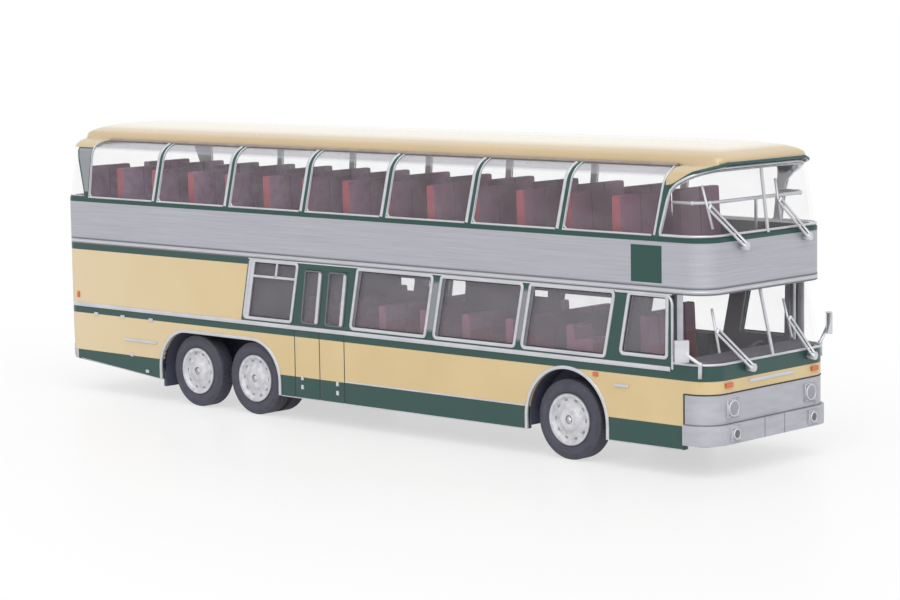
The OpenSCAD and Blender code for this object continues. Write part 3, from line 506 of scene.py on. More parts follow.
# The seats are one maroon plastic, painted in lit and shaded copies: outer sides and the forward faces of
# the lower cushions get a lit red; the broad faces get a shaded mauve-grey that also paints the tent's
# reflection in the glass, paler towards the rear.
def seat_plastic():
    seat = Finish("seat_maroon")
    at, x, y, z = seat.place_mm()
    facing = seat.facing()
    upper_deck = seat.step(z, BAND_LOW)
    # Painted light: the outer sides get the lit red, fully upstairs and in part downstairs.
    side = seat.step(abs(facing.out("Y")), 0.6, 0.1) * seat.step(abs(y), OUTER_SEAT, 0.1)
    lit_pad = seat.step(facing.out("X"), 0.5, 0.1) * (1 - seat.step(z, PAD_TOP))
    tone = seat.noise(at, 0.7)
    # Painted shade and reflection on the broad faces, paler towards the rear.
    face = seat.mix(seat.rise(x, *SEAT_SHADE_X), SEAT_REAR_REFLECTION, SEAT_SHADED_FACE)
    face = seat.mix(seat.rise(tone, 0.3, 0.8), face, SEAT_DARK)
    body = seat.mix(side * (LOWER_LIT_RED + (1 - LOWER_LIT_RED) * upper_deck), face, SEAT_LIT_RED)
    body = seat.mix(lit_pad * (1 - upper_deck), body, SEAT_LIT_RED)
    grain = seat.noise(at, 6.0, 2.0)
    return seat.done(Base_Color=body, Roughness=0.55 + 0.1 * tone, Normal=seat.bump(grain, 0.01))


def moulded(name, base, grain_mm=0.01, rough=0.6):
    plastic = Finish(name)
    at = plastic.place_mm()[0]
    cloud = plastic.noise(at, 0.5, 4.0)
    body = plastic.mix(plastic.rise(cloud, 0.35, 0.65), darker(base, 0.8), base)
    grain = plastic.noise(at, 7.0, 2.0)
    return plastic.done(Base_Color=body, Roughness=rough + 0.12 * cloud,
                        Normal=plastic.bump(grain, grain_mm))


CLEAR_TINT = (0.9, 0.92, 0.94, 1)
clear_glazing = glazing("clear_glazing", CLEAR_TINT, 0.02, 0.08)
screen_glazing = glazing("screen_glazing", CLEAR_TINT, 0.01, 0.05)
hazy_glazing = glazing("hazy_glazing", (0.55, 0.52, 0.57, 1), 0.12, 0.2)
seat_maroon = seat_plastic()
inner_plastic = moulded("inner_plastic", INNER)
chassis_plastic = moulded("chassis_plastic", colour("#34343d"))
housing_plastic = moulded("housing_plastic", colour("#4d5064"))
dash_plastic = moulded("dash_plastic", colour("#5f5b66"))
eaves_shadow_brown = moulded("eaves_shadow_brown", colour("#a3948a"), 0.006, 0.45)
print("inside:", seat_maroon.name, inner_plastic.name)

# %% [markdown]
# Tyres are moulded rubber with a matt side wall and rings round the bead; the wheel discs are pressed
# and sprayed in silver. Both patterns follow the distance from the axle, so each axle gets its own
# material with its own centre.

# %% Wheels
AXLE_X = {"front": 43.3, "drive": -23.2, "tag": -37.0}
AXLE_Z = 5.9
RIM_R = 3.85
BEAD_RING = (4.25, 4.4)
SHOULDER_RING = (5.15, 5.3)
TREAD_R = 5.7


def from_axle(finish, axle):
    at, x, y, z = finish.place_mm()
    across = x - AXLE_X[axle]
    rise = z - AXLE_Z
    angle = finish.node("Math", {0: rise, 1: across}, operation="ARCTAN2")
    return at, (across ** 2 + rise ** 2) ** 0.5, angle, y


def rubber(axle):
    finish = Finish(axle + "_tyre_rubber")
    at, radius, angle, y = from_axle(finish, axle)
    rings = finish.between(radius, *BEAD_RING, 0.05) + finish.between(radius, *SHOULDER_RING, 0.05)
    tread = finish.step(radius, TREAD_R, 0.05)
    grooves = finish.node("Math", {0: y * 9.0}, operation="SINE")
    blocks = finish.node("Math", {0: angle * 60.0 + y * 4.0}, operation="SINE")
    pattern = finish.step(grooves, -0.6, 0.2) + finish.step(blocks, -0.5, 0.3)
    height = rings * 0.5 + tread * pattern * 0.5
    dust = finish.noise(at, 0.9, 4.0)
    body = finish.mix(finish.rise(dust, 0.35, 0.7), TYRE, TYRE_DUST)
    return finish.done(Base_Color=body, Roughness=0.62 + 0.15 * dust, Normal=finish.bump(height, 0.08))


def disc_paint(axle):
    finish = Finish(axle + "_wheel_silver")
    at, radius, *_ = from_axle(finish, axle)
    speckle = finish.noise(at, 1.1, 4.0, 0.6)
    body = finish.mix(finish.rise(speckle, 0.35, 0.65), colour("#bdbdc2"), colour("#d8d8dc"))
    # Painted shade: a dark ring where the disc meets the tyre.
    gap_shade = finish.between(radius, RIM_R - 0.12, RIM_R + 0.2, 0.04)
    body = finish.mix(gap_shade * 0.7, body, SHADOW_GREY)
    return finish.done(Base_Color=body, Metallic=0.2, Roughness=0.4 + 0.15 * speckle,
                       Normal=finish.bump(speckle, 0.03))


tyre_rubber = {axle: rubber(axle) for axle in AXLE_X}
wheel_silver = {axle: disc_paint(axle) for axle in AXLE_X}
print("wheel finishes:", len(tyre_rubber) + len(wheel_silver))

# %% [markdown]
# Lamp lenses are moulded with upright flutes. A wave across the lens gives the flutes their shade and
# their height.

# %% Lamp lenses
def lens_plastic(name, base, rough=0.18):
    lens_finish = Finish(name)
    at = lens_finish.place_mm()[0]
    flutes = lens_finish.node("TexWave", {"Vector": at, "Scale": 1.6, "Distortion": 0.0},
                              bands_direction="Y")
    body = lens_finish.mix(flutes, darker(base, 0.7), base)
    return lens_finish.done(Base_Color=body, Roughness=rough + 0.1 * flutes,
                            Normal=lens_finish.bump(flutes, 0.02), Coat_Weight=0.6)


lamp_glass = lens_plastic("lamp_glass", colour("#9d9ea6"))
fog_glass = lens_plastic("fog_glass", colour("#5a5a62"))
amber_lens = lens_plastic("amber_lens", colour("#e46a28"))
red_lens = lens_plastic("red_lens", colour("#b03a32"))
print("lenses:", lamp_glass.name, fog_glass.name, amber_lens.name, red_lens.name)

# %% [markdown]
# CAD meshes arrive as loose flat triangles. A copy with its corners merged and its shallow edges
# shaded smooth stands in for each curved node, so that round corners and wheels look round. The frame
# of the upper windows is dressed further down, with its mouldings.

# %% Dress the nodes
FINISH_ROWS = (
    (coach_paint, "lower_body"), (roof_cream, "roof"), (band_silver, "upper_band"),
    (front_silver, "grille_panel front_bumper rear_bumper"),
    (trim_silver, "windscreen_posts hand_rail mirror_right mirror_left lower_wipers upper_wipers"),
    (hazy_glazing, "lower_glazing_right"), (screen_glazing, "lower_windscreen"),
    (clear_glazing, "lower_glazing_left upper_glazing_right upper_glazing_left"),
    (clear_glazing, "upper_windscreen upper_rear_window"),
    (seat_maroon, "upper_seats lower_seats cab_seats"), (dash_plastic, "dashboard steering_wheel"),
    (inner_plastic, "upper_floor lower_floor inner_web"),
    (chassis_plastic, "chassis"), (housing_plastic, "wheel_housings"), (lamp_glass, "headlamps"),
    (fog_glass, "fog_lamps"), (amber_lens, "front_indicators"), (red_lens, "tail_lamps"),
)
FINISH_OF = {node: finish for finish, nodes in FINISH_ROWS for node in nodes.split()}
BODY_OF = {node: "coach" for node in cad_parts}
for axle in AXLE_X:
    finishes = {"_axle_shaft": steel, "_rims": wheel_silver[axle], "_tyres": tyre_rubber[axle]}
    for part, finish in finishes.items():
        FINISH_OF[axle + part] = finish
        BODY_OF[axle + part] = axle + "_axle"
FLAT = {"upper_seats", "lower_seats", "cab_seats", "upper_floor", "lower_floor", "inner_web", "chassis",
        "wheel_housings", "lower_glazing_right", "lower_glazing_left", "upper_glazing_right",
        "upper_glazing_left"}
SMOOTH_BELOW = math.radians(32)
WELD = 0.0005 * MM


def dress(node):
    material = FINISH_OF[node]
    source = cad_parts[node]
    if node in FLAT:
        source.data.materials.clear()
        source.data.materials.append(material)
        return
    mesh = source.data.copy()
    work = bmesh.new()
    work.from_mesh(mesh)
    bmesh.ops.remove_doubles(work, verts=work.verts, dist=WELD)
    work.to_mesh(mesh)
    work.free()
    mesh.shade_smooth()
    mesh.set_sharp_from_angle(angle=SMOOTH_BELOW)
    mesh.materials.clear()
    mesh.materials.append(material)
    piece = placed(node + "_surface", mesh)
    weigh = piece.modifiers.new("broad_faces_lead", "WEIGHTED_NORMAL")
    weigh.keep_sharp = True
    weigh.weight = 100
    settled = bpy.data.meshes.new_from_object(
        piece.evaluated_get(bpy.context.evaluated_depsgraph_get()))
    piece.modifiers.clear()
    piece.data = settled
    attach(piece, BODY_OF[node])
    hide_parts(node)


for node in sorted(FINISH_OF):
    dress(node)
print("dressed:", len(FINISH_OF), "smoothed:", len(FINISH_OF) - len(FLAT))

# %% [markdown]
# Bright mouldings edge almost everything on the coach. Each one is a small section pushed along a
# path, which is what Curve to Mesh does in Geometry Nodes. Two trees do all of it: a round bead for
# frames that bend in every direction, and a flat strip that keeps facing one way.

# %% Moulding trees
BEAD_SIDES = 8
STRIP_EASE = 0.04
TRIM_SMOOTH_BELOW = SMOOTH_BELOW * 1.6


def new_tree(name, inputs):
    tree = bpy.data.node_groups.new(name, "GeometryNodeTree")
    tree.interface.new_socket("Geometry", in_out="INPUT", socket_type="NodeSocketGeometry")
    for label, kind in inputs.items():
        tree.interface.new_socket(label, in_out="INPUT", socket_type="NodeSocket" + kind)
    tree.interface.new_socket("Geometry", in_out="OUTPUT", socket_type="NodeSocketGeometry")
    return tree, tree.nodes.new("NodeGroupInput").outputs


def add(tree, kind, links=None, **settings):
    """One node of a tree; links holds an output to join or a value to set, by input name."""
    made = tree.nodes.new(kind)
    for key, value in settings.items():
        setattr(made, key, value)
    for key, value in (links or {}).items():
        socket = made.inputs[key]
        if isinstance(value, bpy.types.NodeSocket):
            tree.links.new(value, socket)
        else:
            socket.default_value = value
    return made.outputs


def close_tree(tree, geometry, material):
    real = add(tree, "GeometryNodeRealizeInstances", {"Geometry": geometry})[0]
    coated = add(tree, "GeometryNodeSetMaterial", {"Geometry": real, "Material": material})[0]
    tree.links.new(coated, tree.nodes.new("NodeGroupOutput").inputs[0])


def sweep(tree, path, section, material):
    links = {"Curve": path, "Profile Curve": section, "Fill Caps": True}
    close_tree(tree, add(tree, "GeometryNodeCurveToMesh", links)[0], material)
    return tree


def bead_tree():
    tree, given = new_tree("round_bead", {"Radius": "Float", "Material": "Material"})
    path = add(tree, "GeometryNodeMeshToCurve", {"Mesh": given["Geometry"]})[0]
    ring = add(tree, "GeometryNodeCurvePrimitiveCircle",
               {"Resolution": BEAD_SIDES, "Radius": given["Radius"]})[0]
    return sweep(tree, path, ring, given["Material"])


def strip_tree():
    tree, given = new_tree("flat_strip", {"Width": "Float", "Depth": "Float", "Material": "Material"})
    facing = add(tree, "GeometryNodeInputNamedAttribute", {"Name": "facing"}, data_type="FLOAT_VECTOR")[0]
    path = add(tree, "GeometryNodeMeshToCurve", {"Mesh": given["Geometry"]})[0]
    turned = add(tree, "GeometryNodeSetCurveNormal", {"Curve": path, "Normal": facing}, mode="FREE")[0]
    section = add(tree, "GeometryNodeCurvePrimitiveQuadrilateral",
                  {"Width": given["Depth"], "Height": given["Width"]})[0]
    eased = add(tree, "GeometryNodeFilletCurve", {"Curve": section, "Radius": STRIP_EASE * MM})[0]
    return sweep(tree, turned, eased, given["Material"])


ROUND_BEAD = bead_tree()
FLAT_STRIP = strip_tree()


def grown(name, points, edges, tree, inputs, body, facings=()):
    """Runs a tree on points (mm) joined by edges, and keeps what it makes as one plain piece."""
    start = bpy.data.meshes.new(name + "_start")
    start.from_pydata([Vector(p) * MM for p in points], edges, [])
    for vector, kept in zip(facings, start.attributes.new("facing", "FLOAT_VECTOR", "POINT").data):
        kept.vector = vector
    host = placed(name + "_start", start)
    modifier = host.modifiers.new("grow", "NODES")
    modifier.node_group = tree
    for item in tree.interface.items_tree:
        if item.in_out == "INPUT" and item.name in inputs:
            modifier[item.identifier] = inputs[item.name]
    mesh = bpy.data.meshes.new_from_object(host.evaluated_get(bpy.context.evaluated_depsgraph_get()))
    bpy.data.objects.remove(host)
    mesh.name = name
    mesh.shade_smooth()
    mesh.set_sharp_from_angle(angle=TRIM_SMOOTH_BELOW)
    piece = placed(name, mesh)
    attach(piece, body)


def chain(paths, closed):
    points = []
    edges = []
    for path in paths:
        first = len(points)
        points += path
        edges += [(first + i, first + i + 1) for i in range(len(path) - 1)]
        if closed:
            edges.append((len(points) - 1, first))
    return points, edges


def bead(name, paths, radius, material=trim_silver, closed=False):
    points, edges = chain(paths, closed)
    inputs = {"Radius": radius * MM, "Material": material}
    grown(name, points, edges, ROUND_BEAD, inputs, "coach")


def strip(name, paths, width, depth, facing, material=trim_silver, slot="silver_paint", closed=False):
    """A flat strip; facing is one direction, or a function that gives it for a point."""
    points, edges = chain(paths, closed)
    facings = [facing(p) if callable(facing) else facing for p in points]
    inputs = {"Width": width * MM, "Depth": depth * MM, "Material": material}
    grown(name, points, edges, FLAT_STRIP, inputs, "coach", facings)


print("trees:", ROUND_BEAD.name, FLAT_STRIP.name)

# %% [markdown]
# Each lower window sits in a bright frame with round corners. The outline is the same leaning four-
# sided shape as the opening in the shell, so the frame is drawn from the window's feet and its lean.

# %% Lower window frames
DOOR_LEAN = LEAN * DOOR_SHARE
DOOR_DROP = 0.9
CAB_RISE = 0.7
CAB_LEANS = (LEAN * 0.87, 0.15)
WINDOWS = [(-24.8, -14.0, LEAN, LEAN, 0, 0), (-11.5, -7.75, DOOR_LEAN, DOOR_LEAN, 0, DOOR_DROP),
           (-6.15, -2.25, DOOR_LEAN, DOOR_LEAN, 0, DOOR_DROP), (-0.5, 15.25, LEAN, LEAN, 0, 0),
           (17.2, 33.25, LEAN, LEAN, 0, 0), (34.85, 50.4, LEAN, LEAN, 0, 0),
           (53.45, 61.7, *CAB_LEANS, CAB_RISE, 0)]
WINDOW_R = 0.45
SIDES = (-1, 1)
SIDE_NAMES = tuple(zip(SIDES, ("right", "left")))


def rounded(corners, radius, steps=5):
    """The outline through corners (x, z), each turned on an arc."""
    outline = []
    for i, corner in enumerate(corners):
        p = Vector(corner)
        a = (Vector(corners[i - 1]) - p).normalized()
        b = (Vector(corners[(i + 1) % len(corners)]) - p).normalized()
        opening = math.acos(max(-1, min(1, a.dot(b)))) / 2
        centre = p + (a + b).normalized() * radius / math.sin(opening)
        start = p + a * radius / math.tan(opening) - centre
        end = p + b * radius / math.tan(opening) - centre
        for k in range(steps + 1):
            outline.append(centre + (start * (steps - k) + end * k).normalized() * radius)
    return outline


def window_outline(window, grow=0.0):
    left, right, lean_left, lean_right, rise, drop = window
    foot = SILL + rise - grow
    head = HEAD - drop + grow
    return rounded([(left - grow, foot), (right + grow, foot),
                    (right + lean_right + grow, head), (left + lean_left - grow, head)],
                   WINDOW_R + grow)


def on_side(outline, side, out=0.0):
    return [(p[0], side * (HALF + out), p[1]) for p in outline]


FRAME_WIDTH = 0.5
FRAME_DEPTH = 0.32
FRAME_OUT = 0.06
DOOR_FRAME = 0.24
BAR_W = 0.7
BAR_IN = 0.4
SEAL = (0.16, 0.2)
SEAL_IN = 0.27
SEAL_BACK = 0.12
REVEAL_SHADOW = (0.6, 0.1)
REVEAL_SHADOW_IN = 0.5
EDGE_END = 0.1
DOORS = WINDOWS[1:3]
FIXED = WINDOWS[:1] + WINDOWS[3:]


def window_edge(window, right, inset, side):
    """One upright edge of a window, moved in by inset."""
    foot, lean = (window[1] - inset, window[3]) if right else (window[0] + inset, window[2])
    low = SILL + window[4] + EDGE_END
    high = HEAD - window[5] - EDGE_END
    return [(foot, side * HALF, low), (foot + lean, side * HALF, high)]


for side, label in SIDE_NAMES:
    out = (0, side, 0)
    frames = [on_side(window_outline(w, FRAME_OUT), side) for w in FIXED]
    strip("window_frames_" + label, frames, FRAME_WIDTH, FRAME_DEPTH, out, closed=True)
    leaves = [on_side(window_outline(w), side) for w in DOORS]
    strip("door_frames_" + label, leaves, DOOR_FRAME, FRAME_DEPTH, out, groove_grey, closed=True)
    bars = [window_edge(w, True, BAR_IN, side) for w in DOORS]
    strip("door_bars_" + label, bars, BAR_W, FRAME_DEPTH, out)
    lips = [on_side(window_outline(w, -SEAL_IN), side, -SEAL_BACK) for w in FIXED]
    strip("window_seals_" + label, lips, *SEAL, out, chassis_plastic, "chassis_plastic", closed=True)
    # Painted shade: a dark strip inside the left edge of each wide window stands for the shadowed reveal of
    # the opening.
    reveal_shadows = [window_edge(w, False, REVEAL_SHADOW_IN, side) for w in FIXED[1:-1]]
    strip("window_reveal_shadows_" + label, reveal_shadows, *REVEAL_SHADOW, out, groove_grey, "chassis_plastic")
print("framed:", 2 * len(WINDOWS), "lower windows")

# %% [markdown]
# A bright strip runs along the belt on both sides, a thin one along the skirt between door and front
# wheel, and broad bright lips edge the wheel arches.

# %% Belt strip, skirt line and arch lips
TRIM_Z = (BELT_HIGH + TRIM_HIGH) / 2
THIN_TRIM = 0.2
FRONT_ARCH_R = 7.55
REAR_ARCH_R = 6.35
FLAP_ROOM = 2.05
SKIRT_LOW = 3.85
SKIRT_FRONT = 64.4
SKIRT_REAR = (REAR_X + 3.4, 5.65)
SKIRT_STRIP_X = (-1.9, 35.2)
SKIRT_STRIP_UP = 0.14
SKIRT_STRIP_W = 0.24
SKIRT_HIGHLIGHT_R = 0.12
SKIRT_HIGHLIGHT_IN = 0.1
ARCH_ROOM = 0.4
TRIM_DEPTH = 0.36
BELT_END = 62.4
LIP = 0.5
LIP_OUT = LIP / 2 - 0.1


def arc(cx, cz, radius, start, end, steps):
    turn = (end - start) / steps
    return [(cx + radius * math.cos(math.radians(start + turn * k)),
             cz + radius * math.sin(math.radians(start + turn * k))) for k in range(steps + 1)]


def to_skirt(outline):
    """An arch's outline with both ends led down to the skirt's edge."""
    return [(outline[0][0], SKIRT_LOW)] + outline + [(outline[-1][0], SKIRT_LOW)]


front_lip = to_skirt(arc(AXLE_X["front"], AXLE_Z, FRONT_ARCH_R + LIP_OUT, 180, 0, 32))
aft = AXLE_X["tag"] - FLAP_ROOM
rear_lip = to_skirt(arc(aft, AXLE_Z, REAR_ARCH_R + LIP_OUT, 180, 90, 16)
                    + arc(AXLE_X["drive"], AXLE_Z, REAR_ARCH_R + LIP_OUT, 90, 0, 16))
skirt_ends = (AXLE_X["drive"] + REAR_ARCH_R + ARCH_ROOM, AXLE_X["front"] - FRONT_ARCH_R - ARCH_ROOM,
              AXLE_X["front"] + FRONT_ARCH_R + ARCH_ROOM, SKIRT_FRONT)
skirt_runs = [[(aft - REAR_ARCH_R - ARCH_ROOM, SKIRT_LOW), SKIRT_REAR],
              [(x, SKIRT_LOW) for x in skirt_ends[:2]], [(x, SKIRT_LOW) for x in skirt_ends[2:]]]
for side, label in SIDE_NAMES:
    out = (0, side, 0)
    belt = [on_side([(REAR_X + REAR_R, TRIM_Z), (BELT_END, TRIM_Z)], side)]
    strip("belt_strip_" + label, belt, TRIM_HIGH - BELT_HIGH, TRIM_DEPTH, out)
    # Painted highlight: a bright bead along the skirt's lower edge stands for the light that edge catches
    # from the white table.
    foot = [on_side(run, side, -SKIRT_HIGHLIGHT_IN) for run in skirt_runs]
    bead("skirt_edge_highlight_" + label, foot, SKIRT_HIGHLIGHT_R)
    skirt = [on_side([(x, SKIRT_TOP + SKIRT_STRIP_UP) for x in SKIRT_STRIP_X], side)]
    strip("skirt_strip_" + label, skirt, SKIRT_STRIP_W, THIN_TRIM, out)
    lips = [on_side(front_lip, side), on_side(rear_lip, side)]
    strip("arch_lips_" + label, lips, LIP, TRIM_DEPTH, out)
print("belt, skirt and arches trimmed")

# %% [markdown]
# The band between the decks closes below with a raised bright strip that wraps round the coach. Its
# path is the plan of the body: straight sides joined by four round corners.

# %% Strip round the band
BAND_BACK = 0.6
BAND_REAR = 0.16
FOOT_STRIP_Z = 25.98
FOOT_STRIP_R = 0.14
FOOT_STRIP_IN = 0.05
BAND_SHADOW_LINES_Z = (26.42, 25.64)
BAND_SHADOW_LINE_R = 0.15
BAND_SHADOW_LINE_IN = 0.1


def plan_path(front, rear, half, front_r, rear_r, z):
    """The plan outline at height z, anticlockwise, as points."""
    path = []
    for cx, cy, radius, start in ((front - front_r, -half + front_r, front_r, -90),
                                  (front - front_r, half - front_r, front_r, 0),
                                  (rear + rear_r, half - rear_r, rear_r, 90),
                                  (rear + rear_r, -half + rear_r, rear_r, 180)):
        path += [(x, y, z) for x, y in arc(cx, cy, radius, start, start + 90, 12)]
    return path


def band_path(z, out):
    return plan_path(FRONT_X - BAND_BACK + out, REAR_X + BAND_REAR, HALF + out,
                     CORNER_R + out, REAR_R + out, z)


bead("band_foot_strip", [band_path(FOOT_STRIP_Z, -FOOT_STRIP_IN)], FOOT_STRIP_R, closed=True)
# Painted shade: two dark beads, above and below the strip, stand for the shadow lines at the band's groove
# and at its lower edge.
lines = [band_path(z, -BAND_SHADOW_LINE_IN) for z in BAND_SHADOW_LINES_Z]
bead("band_shadow_lines", lines, BAND_SHADOW_LINE_R, groove_grey, closed=True)
print("band edged")

# %% [markdown]
# The upper windows bend over into the roof, so their slim frames follow a curve in every direction.
# A point of the outline is put on the glass by asking how wide the deck is at that height.

# %% Upper window frames
TURN_IN = HALF - KINK_IN - EAVES_HALF
FIRST_POST = -63.7
SCREEN_FOOT = 60.6
POST_W = 1.2
UPPER_WINDOWS = 7
POST_PITCH = (SCREEN_FOOT - POST_W / 2 - FIRST_POST) / UPPER_WINDOWS
UPPER_LEAN = 1.55
FRAME_SHARE = 0.06
UPPER_SILL = WAIST + FRAME_SHARE * (KINK - WAIST)
UPPER_HEAD = EAVES - FRAME_SHARE * (EAVES - KINK)
UPPER_FOOT = UPPER_SILL - 0.1
UPPER_OUT = 0.02
EDGE_STEPS = 20


def upper_half(z):
    if z < KINK:
        return HALF - KINK_IN * (z - WAIST) / (KINK - WAIST)
    share = min(1.0, (z - KINK) / (EAVES - KINK))
    return EAVES_HALF + TURN_IN * math.sqrt(1 - share * share)


def upper_facing(point):
    """The direction that the upper deck's wall faces at a point."""
    side = math.copysign(1, point[1])
    if point[2] < KINK:
        return (0, side, KINK_IN / (KINK - WAIST))
    lift = min(1.0, (point[2] - KINK) / TURN)
    return Vector((0, side * math.sqrt(1 - lift * lift) / TURN_IN, lift / TURN)).normalized()


def upper_edge(foot, lean, side):
    """A leaning edge that follows the wall up, from its foot's x."""
    path = []
    for k in range(EDGE_STEPS + 1):
        z = UPPER_FOOT + (UPPER_HEAD - UPPER_FOOT) * k / EDGE_STEPS
        x = foot + lean * (z - UPPER_SILL) / (UPPER_HEAD - UPPER_SILL)
        path.append((x, side * (upper_half(z) + UPPER_OUT), z))
    return path


COVER_W = 0.55
COVER_IN = 0.15
LAST_COVER_IN = 0.22
LAST_COVER_W = 0.36
EDGE_R = 0.1
SILL_Z = UPPER_SILL - 0.12
SILL_R = 0.16
SILL_ENDS = (-0.05, -0.2)
for side, label in SIDE_NAMES:
    sills = []
    covers = []
    edges = []
    for n in range(UPPER_WINDOWS):
        left = FIRST_POST + n * POST_PITCH + POST_W / 2
        right = FIRST_POST + (n + 1) * POST_PITCH - POST_W / 2
        sill = side * (upper_half(SILL_Z) + UPPER_OUT)
        sills.append([(left + SILL_ENDS[0], sill, SILL_Z), (right + SILL_ENDS[1], sill, SILL_Z)])
        edges.append(upper_edge(left, UPPER_LEAN if n else UPPER_LEAN / 3, side))
        inset = COVER_IN if n < UPPER_WINDOWS - 1 else LAST_COVER_IN
        covers.append(upper_edge(right + inset, UPPER_LEAN, side))
    bead("upper_sills_" + label, sills, SILL_R)
    bead("upper_edges_" + label, edges, EDGE_R)
    strip("upper_covers_" + label, covers[:-1], COVER_W, THIN_TRIM, upper_facing)
    strip("upper_last_cover_" + label, covers[-1:], LAST_COVER_W, THIN_TRIM, upper_facing)
print("framed:", 2 * UPPER_WINDOWS, "upper windows")

# %% [markdown]
# On the model the upper posts are printed on clear plastic and have hardly any depth, while the CAD's
# wall is thick enough to mould. A copy whose inside is moved out stands in for the frame: every inner
# point of the two side walls goes to the same place on a thinner section.

# %% Thin upper posts
FRAME_WALL = 0.7
THIN_WALL = 0.3
SIDE_WALLS = (-66.0, 63.5)


def thinned(point):
    """A point of the frame (mm), moved out if it lies on the inside of a side wall."""
    x, y, z = point
    if not SIDE_WALLS[0] < x < SIDE_WALLS[1]:
        return point
    side = math.copysign(1, y)
    if z < KINK:
        inside = upper_half(z) - abs(y) > FRAME_WALL / 2
        return Vector((x, y + side * (FRAME_WALL - THIN_WALL), z)) if inside else point
    over = abs(y) - EAVES_HALF
    rise = z - KINK
    if math.hypot(over / (TURN_IN - FRAME_WALL / 2), rise / (TURN - FRAME_WALL / 2)) > 1:
        return point
    wide = (TURN_IN - THIN_WALL) / (TURN_IN - FRAME_WALL)
    high = (TURN - THIN_WALL) / (TURN - FRAME_WALL)
    return Vector((x, side * (EAVES_HALF + over * wide), KINK + rise * high))


thin_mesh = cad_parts["upper_frame"].data.copy()
moved = 0
for vertex in thin_mesh.vertices:
    target = thinned(vertex.co / MM) * MM
    moved += (target - vertex.co).length > WELD
    vertex.co = target
thin_mesh.materials.clear()
thin_mesh.materials.append(post_green)
thin_posts = placed("upper_frame_surface", thin_mesh)
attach(thin_posts, "coach")
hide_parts("upper_frame")
print("thinned:", moved, "of", len(thin_mesh.vertices), "points")

# %% [markdown]
# The rear side window has two vent panes over a bar, and the cab door has a second moulding that turns
# round its upper front corner. Both are more of the same strips and beads.

# %% Vent bars and cab door moulding
VENT_Z = 22.7
VENT_X = -17.2
CAB_EDGE = 62.75
CAB_TURN = 1.3
CAB_HEAD = HEAD + 0.2
CAB_HEAD_X = 52.6
CAB_MOULDING_R = 0.2
CAB_MOULDING_OUT = 0.04
VENT_IN = 0.05
VENT_BAR = (0.4, 0.3)
VENT_EDGE_X = -24.2
VENT_EDGE = (0.9, 0.28)
SCREEN_POST_X = 64.1
SCREEN_POST = (1.0, 0.2)
POST_SHADE_X = 63.35
POST_SHADE = (0.5, 0.16)
SCREEN_POST_TOP = 25.5
for side, label in SIDE_NAMES:
    out = (0, side, 0)
    lean = LEAN * (VENT_Z - SILL) / (HEAD - SILL)
    bars = [[(x + lean, VENT_Z) for x in WINDOWS[0][:2]], [(VENT_X, VENT_Z), (VENT_X + LEAN - lean, HEAD)]]
    edge = [on_side([(VENT_EDGE_X, SILL), (VENT_EDGE_X + LEAN, HEAD)], side)]
    strip("vent_edge_" + label, edge, *VENT_EDGE, out)
    strip("vent_bars_" + label, [on_side(bar, side, -VENT_IN) for bar in bars], *VENT_BAR, out)
    turn = arc(CAB_EDGE - CAB_TURN, CAB_HEAD - CAB_TURN, CAB_TURN, 90, 0, 8)
    moulding = [(CAB_HEAD_X, CAB_HEAD)] + turn + [(CAB_EDGE, TRIM_Z)]
    bead("cab_door_moulding_" + label, [on_side(moulding, side, CAB_MOULDING_OUT)], CAB_MOULDING_R)
    post = [on_side([(SCREEN_POST_X, z) for z in (SILL, SCREEN_POST_TOP)], side)]
    shade = [on_side([(POST_SHADE_X, z) for z in (SILL, SCREEN_POST_TOP)], side)]
    strip("screen_post_" + label, post, *SCREEN_POST, out, front_silver)
    strip("screen_post_shade_" + label, shade, *POST_SHADE, out, chassis_plastic, "chassis_plastic")
print("vents and cab doors trimmed")

# %% [markdown]
# The windscreens wrap round two corners, and their frames have to stay on the glass. A frame edge is a
# height for every x, drawn in side view. Each point of it is put on the body by asking, at that height,
# how wide the body is, where its front is and how round its corner is.

# %% Windscreen frames, visor lip and painted eaves shadows
FRONT_HALF_POINTS = 10
SIDE_STEP = 0.5
SETTLE = 20
HEAD_LIFT = 0.3
SCREEN_START = 60.65
SCREEN_SILL = WAIST + 0.36
SCREEN_FRAME_R = 0.21
LIP_START = 61.6
VISOR_LIP_R = 0.26
LOW_START = 62.7
LOW_SILL_R = 0.19
EAVES_SHADOW_X = (-60.6, 61.4)
EAVES_SHADOW_Y = EAVES_HALF + 0.55
EAVES_SHADOW_Z = EAVES - 0.06
EAVES_SHADOW_R = 0.34


def along_side(corners):
    """A height for every x, from corners in side view."""
    def height(x):
        for (x0, z0), (x1, z1) in zip(corners, corners[1:]):
            if x <= x1:
                return z0 + (z1 - z0) * (x - x0) / (x1 - x0)
        return corners[-1][1]
    return height


def wrapped(height, plan_at, start, out=0.0):
    """The edge from start on the right side, round the front, to start on the left side."""
    path = []
    x = start
    front, half, radius = plan_at(height(x))
    while x < front - radius:
        path.append((x, -half - out, height(x)))
        x += SIDE_STEP
        front, half, radius = plan_at(height(x))
    for k in range(FRONT_HALF_POINTS + 1):
        turn = math.pi / 2 * k / FRONT_HALF_POINTS
        for _ in range(SETTLE):
            front, half, radius = plan_at(height(x))
            x = front - radius + radius * math.sin(turn)
        reach = radius + out
        path.append((front - radius + reach * math.sin(turn), radius - half - reach * math.cos(turn),
                     height(x)))
    return path + [(x, -y, z) for x, y, z in reversed(path)]


def turned(z):
    """How far the wall has turned into the roof at a height, in degrees."""
    return math.degrees(math.asin(max(0, min(1, (z - KINK) / TURN))))


def glass_plan(z):
    """Front, half width and corner radius of the upper glass."""
    back = 0.9 * min(1, (z - WAIST) / (KINK - WAIST)) + turned(z) / 180
    return FRONT_X - 0.85 - back, upper_half(z), CORNER_R


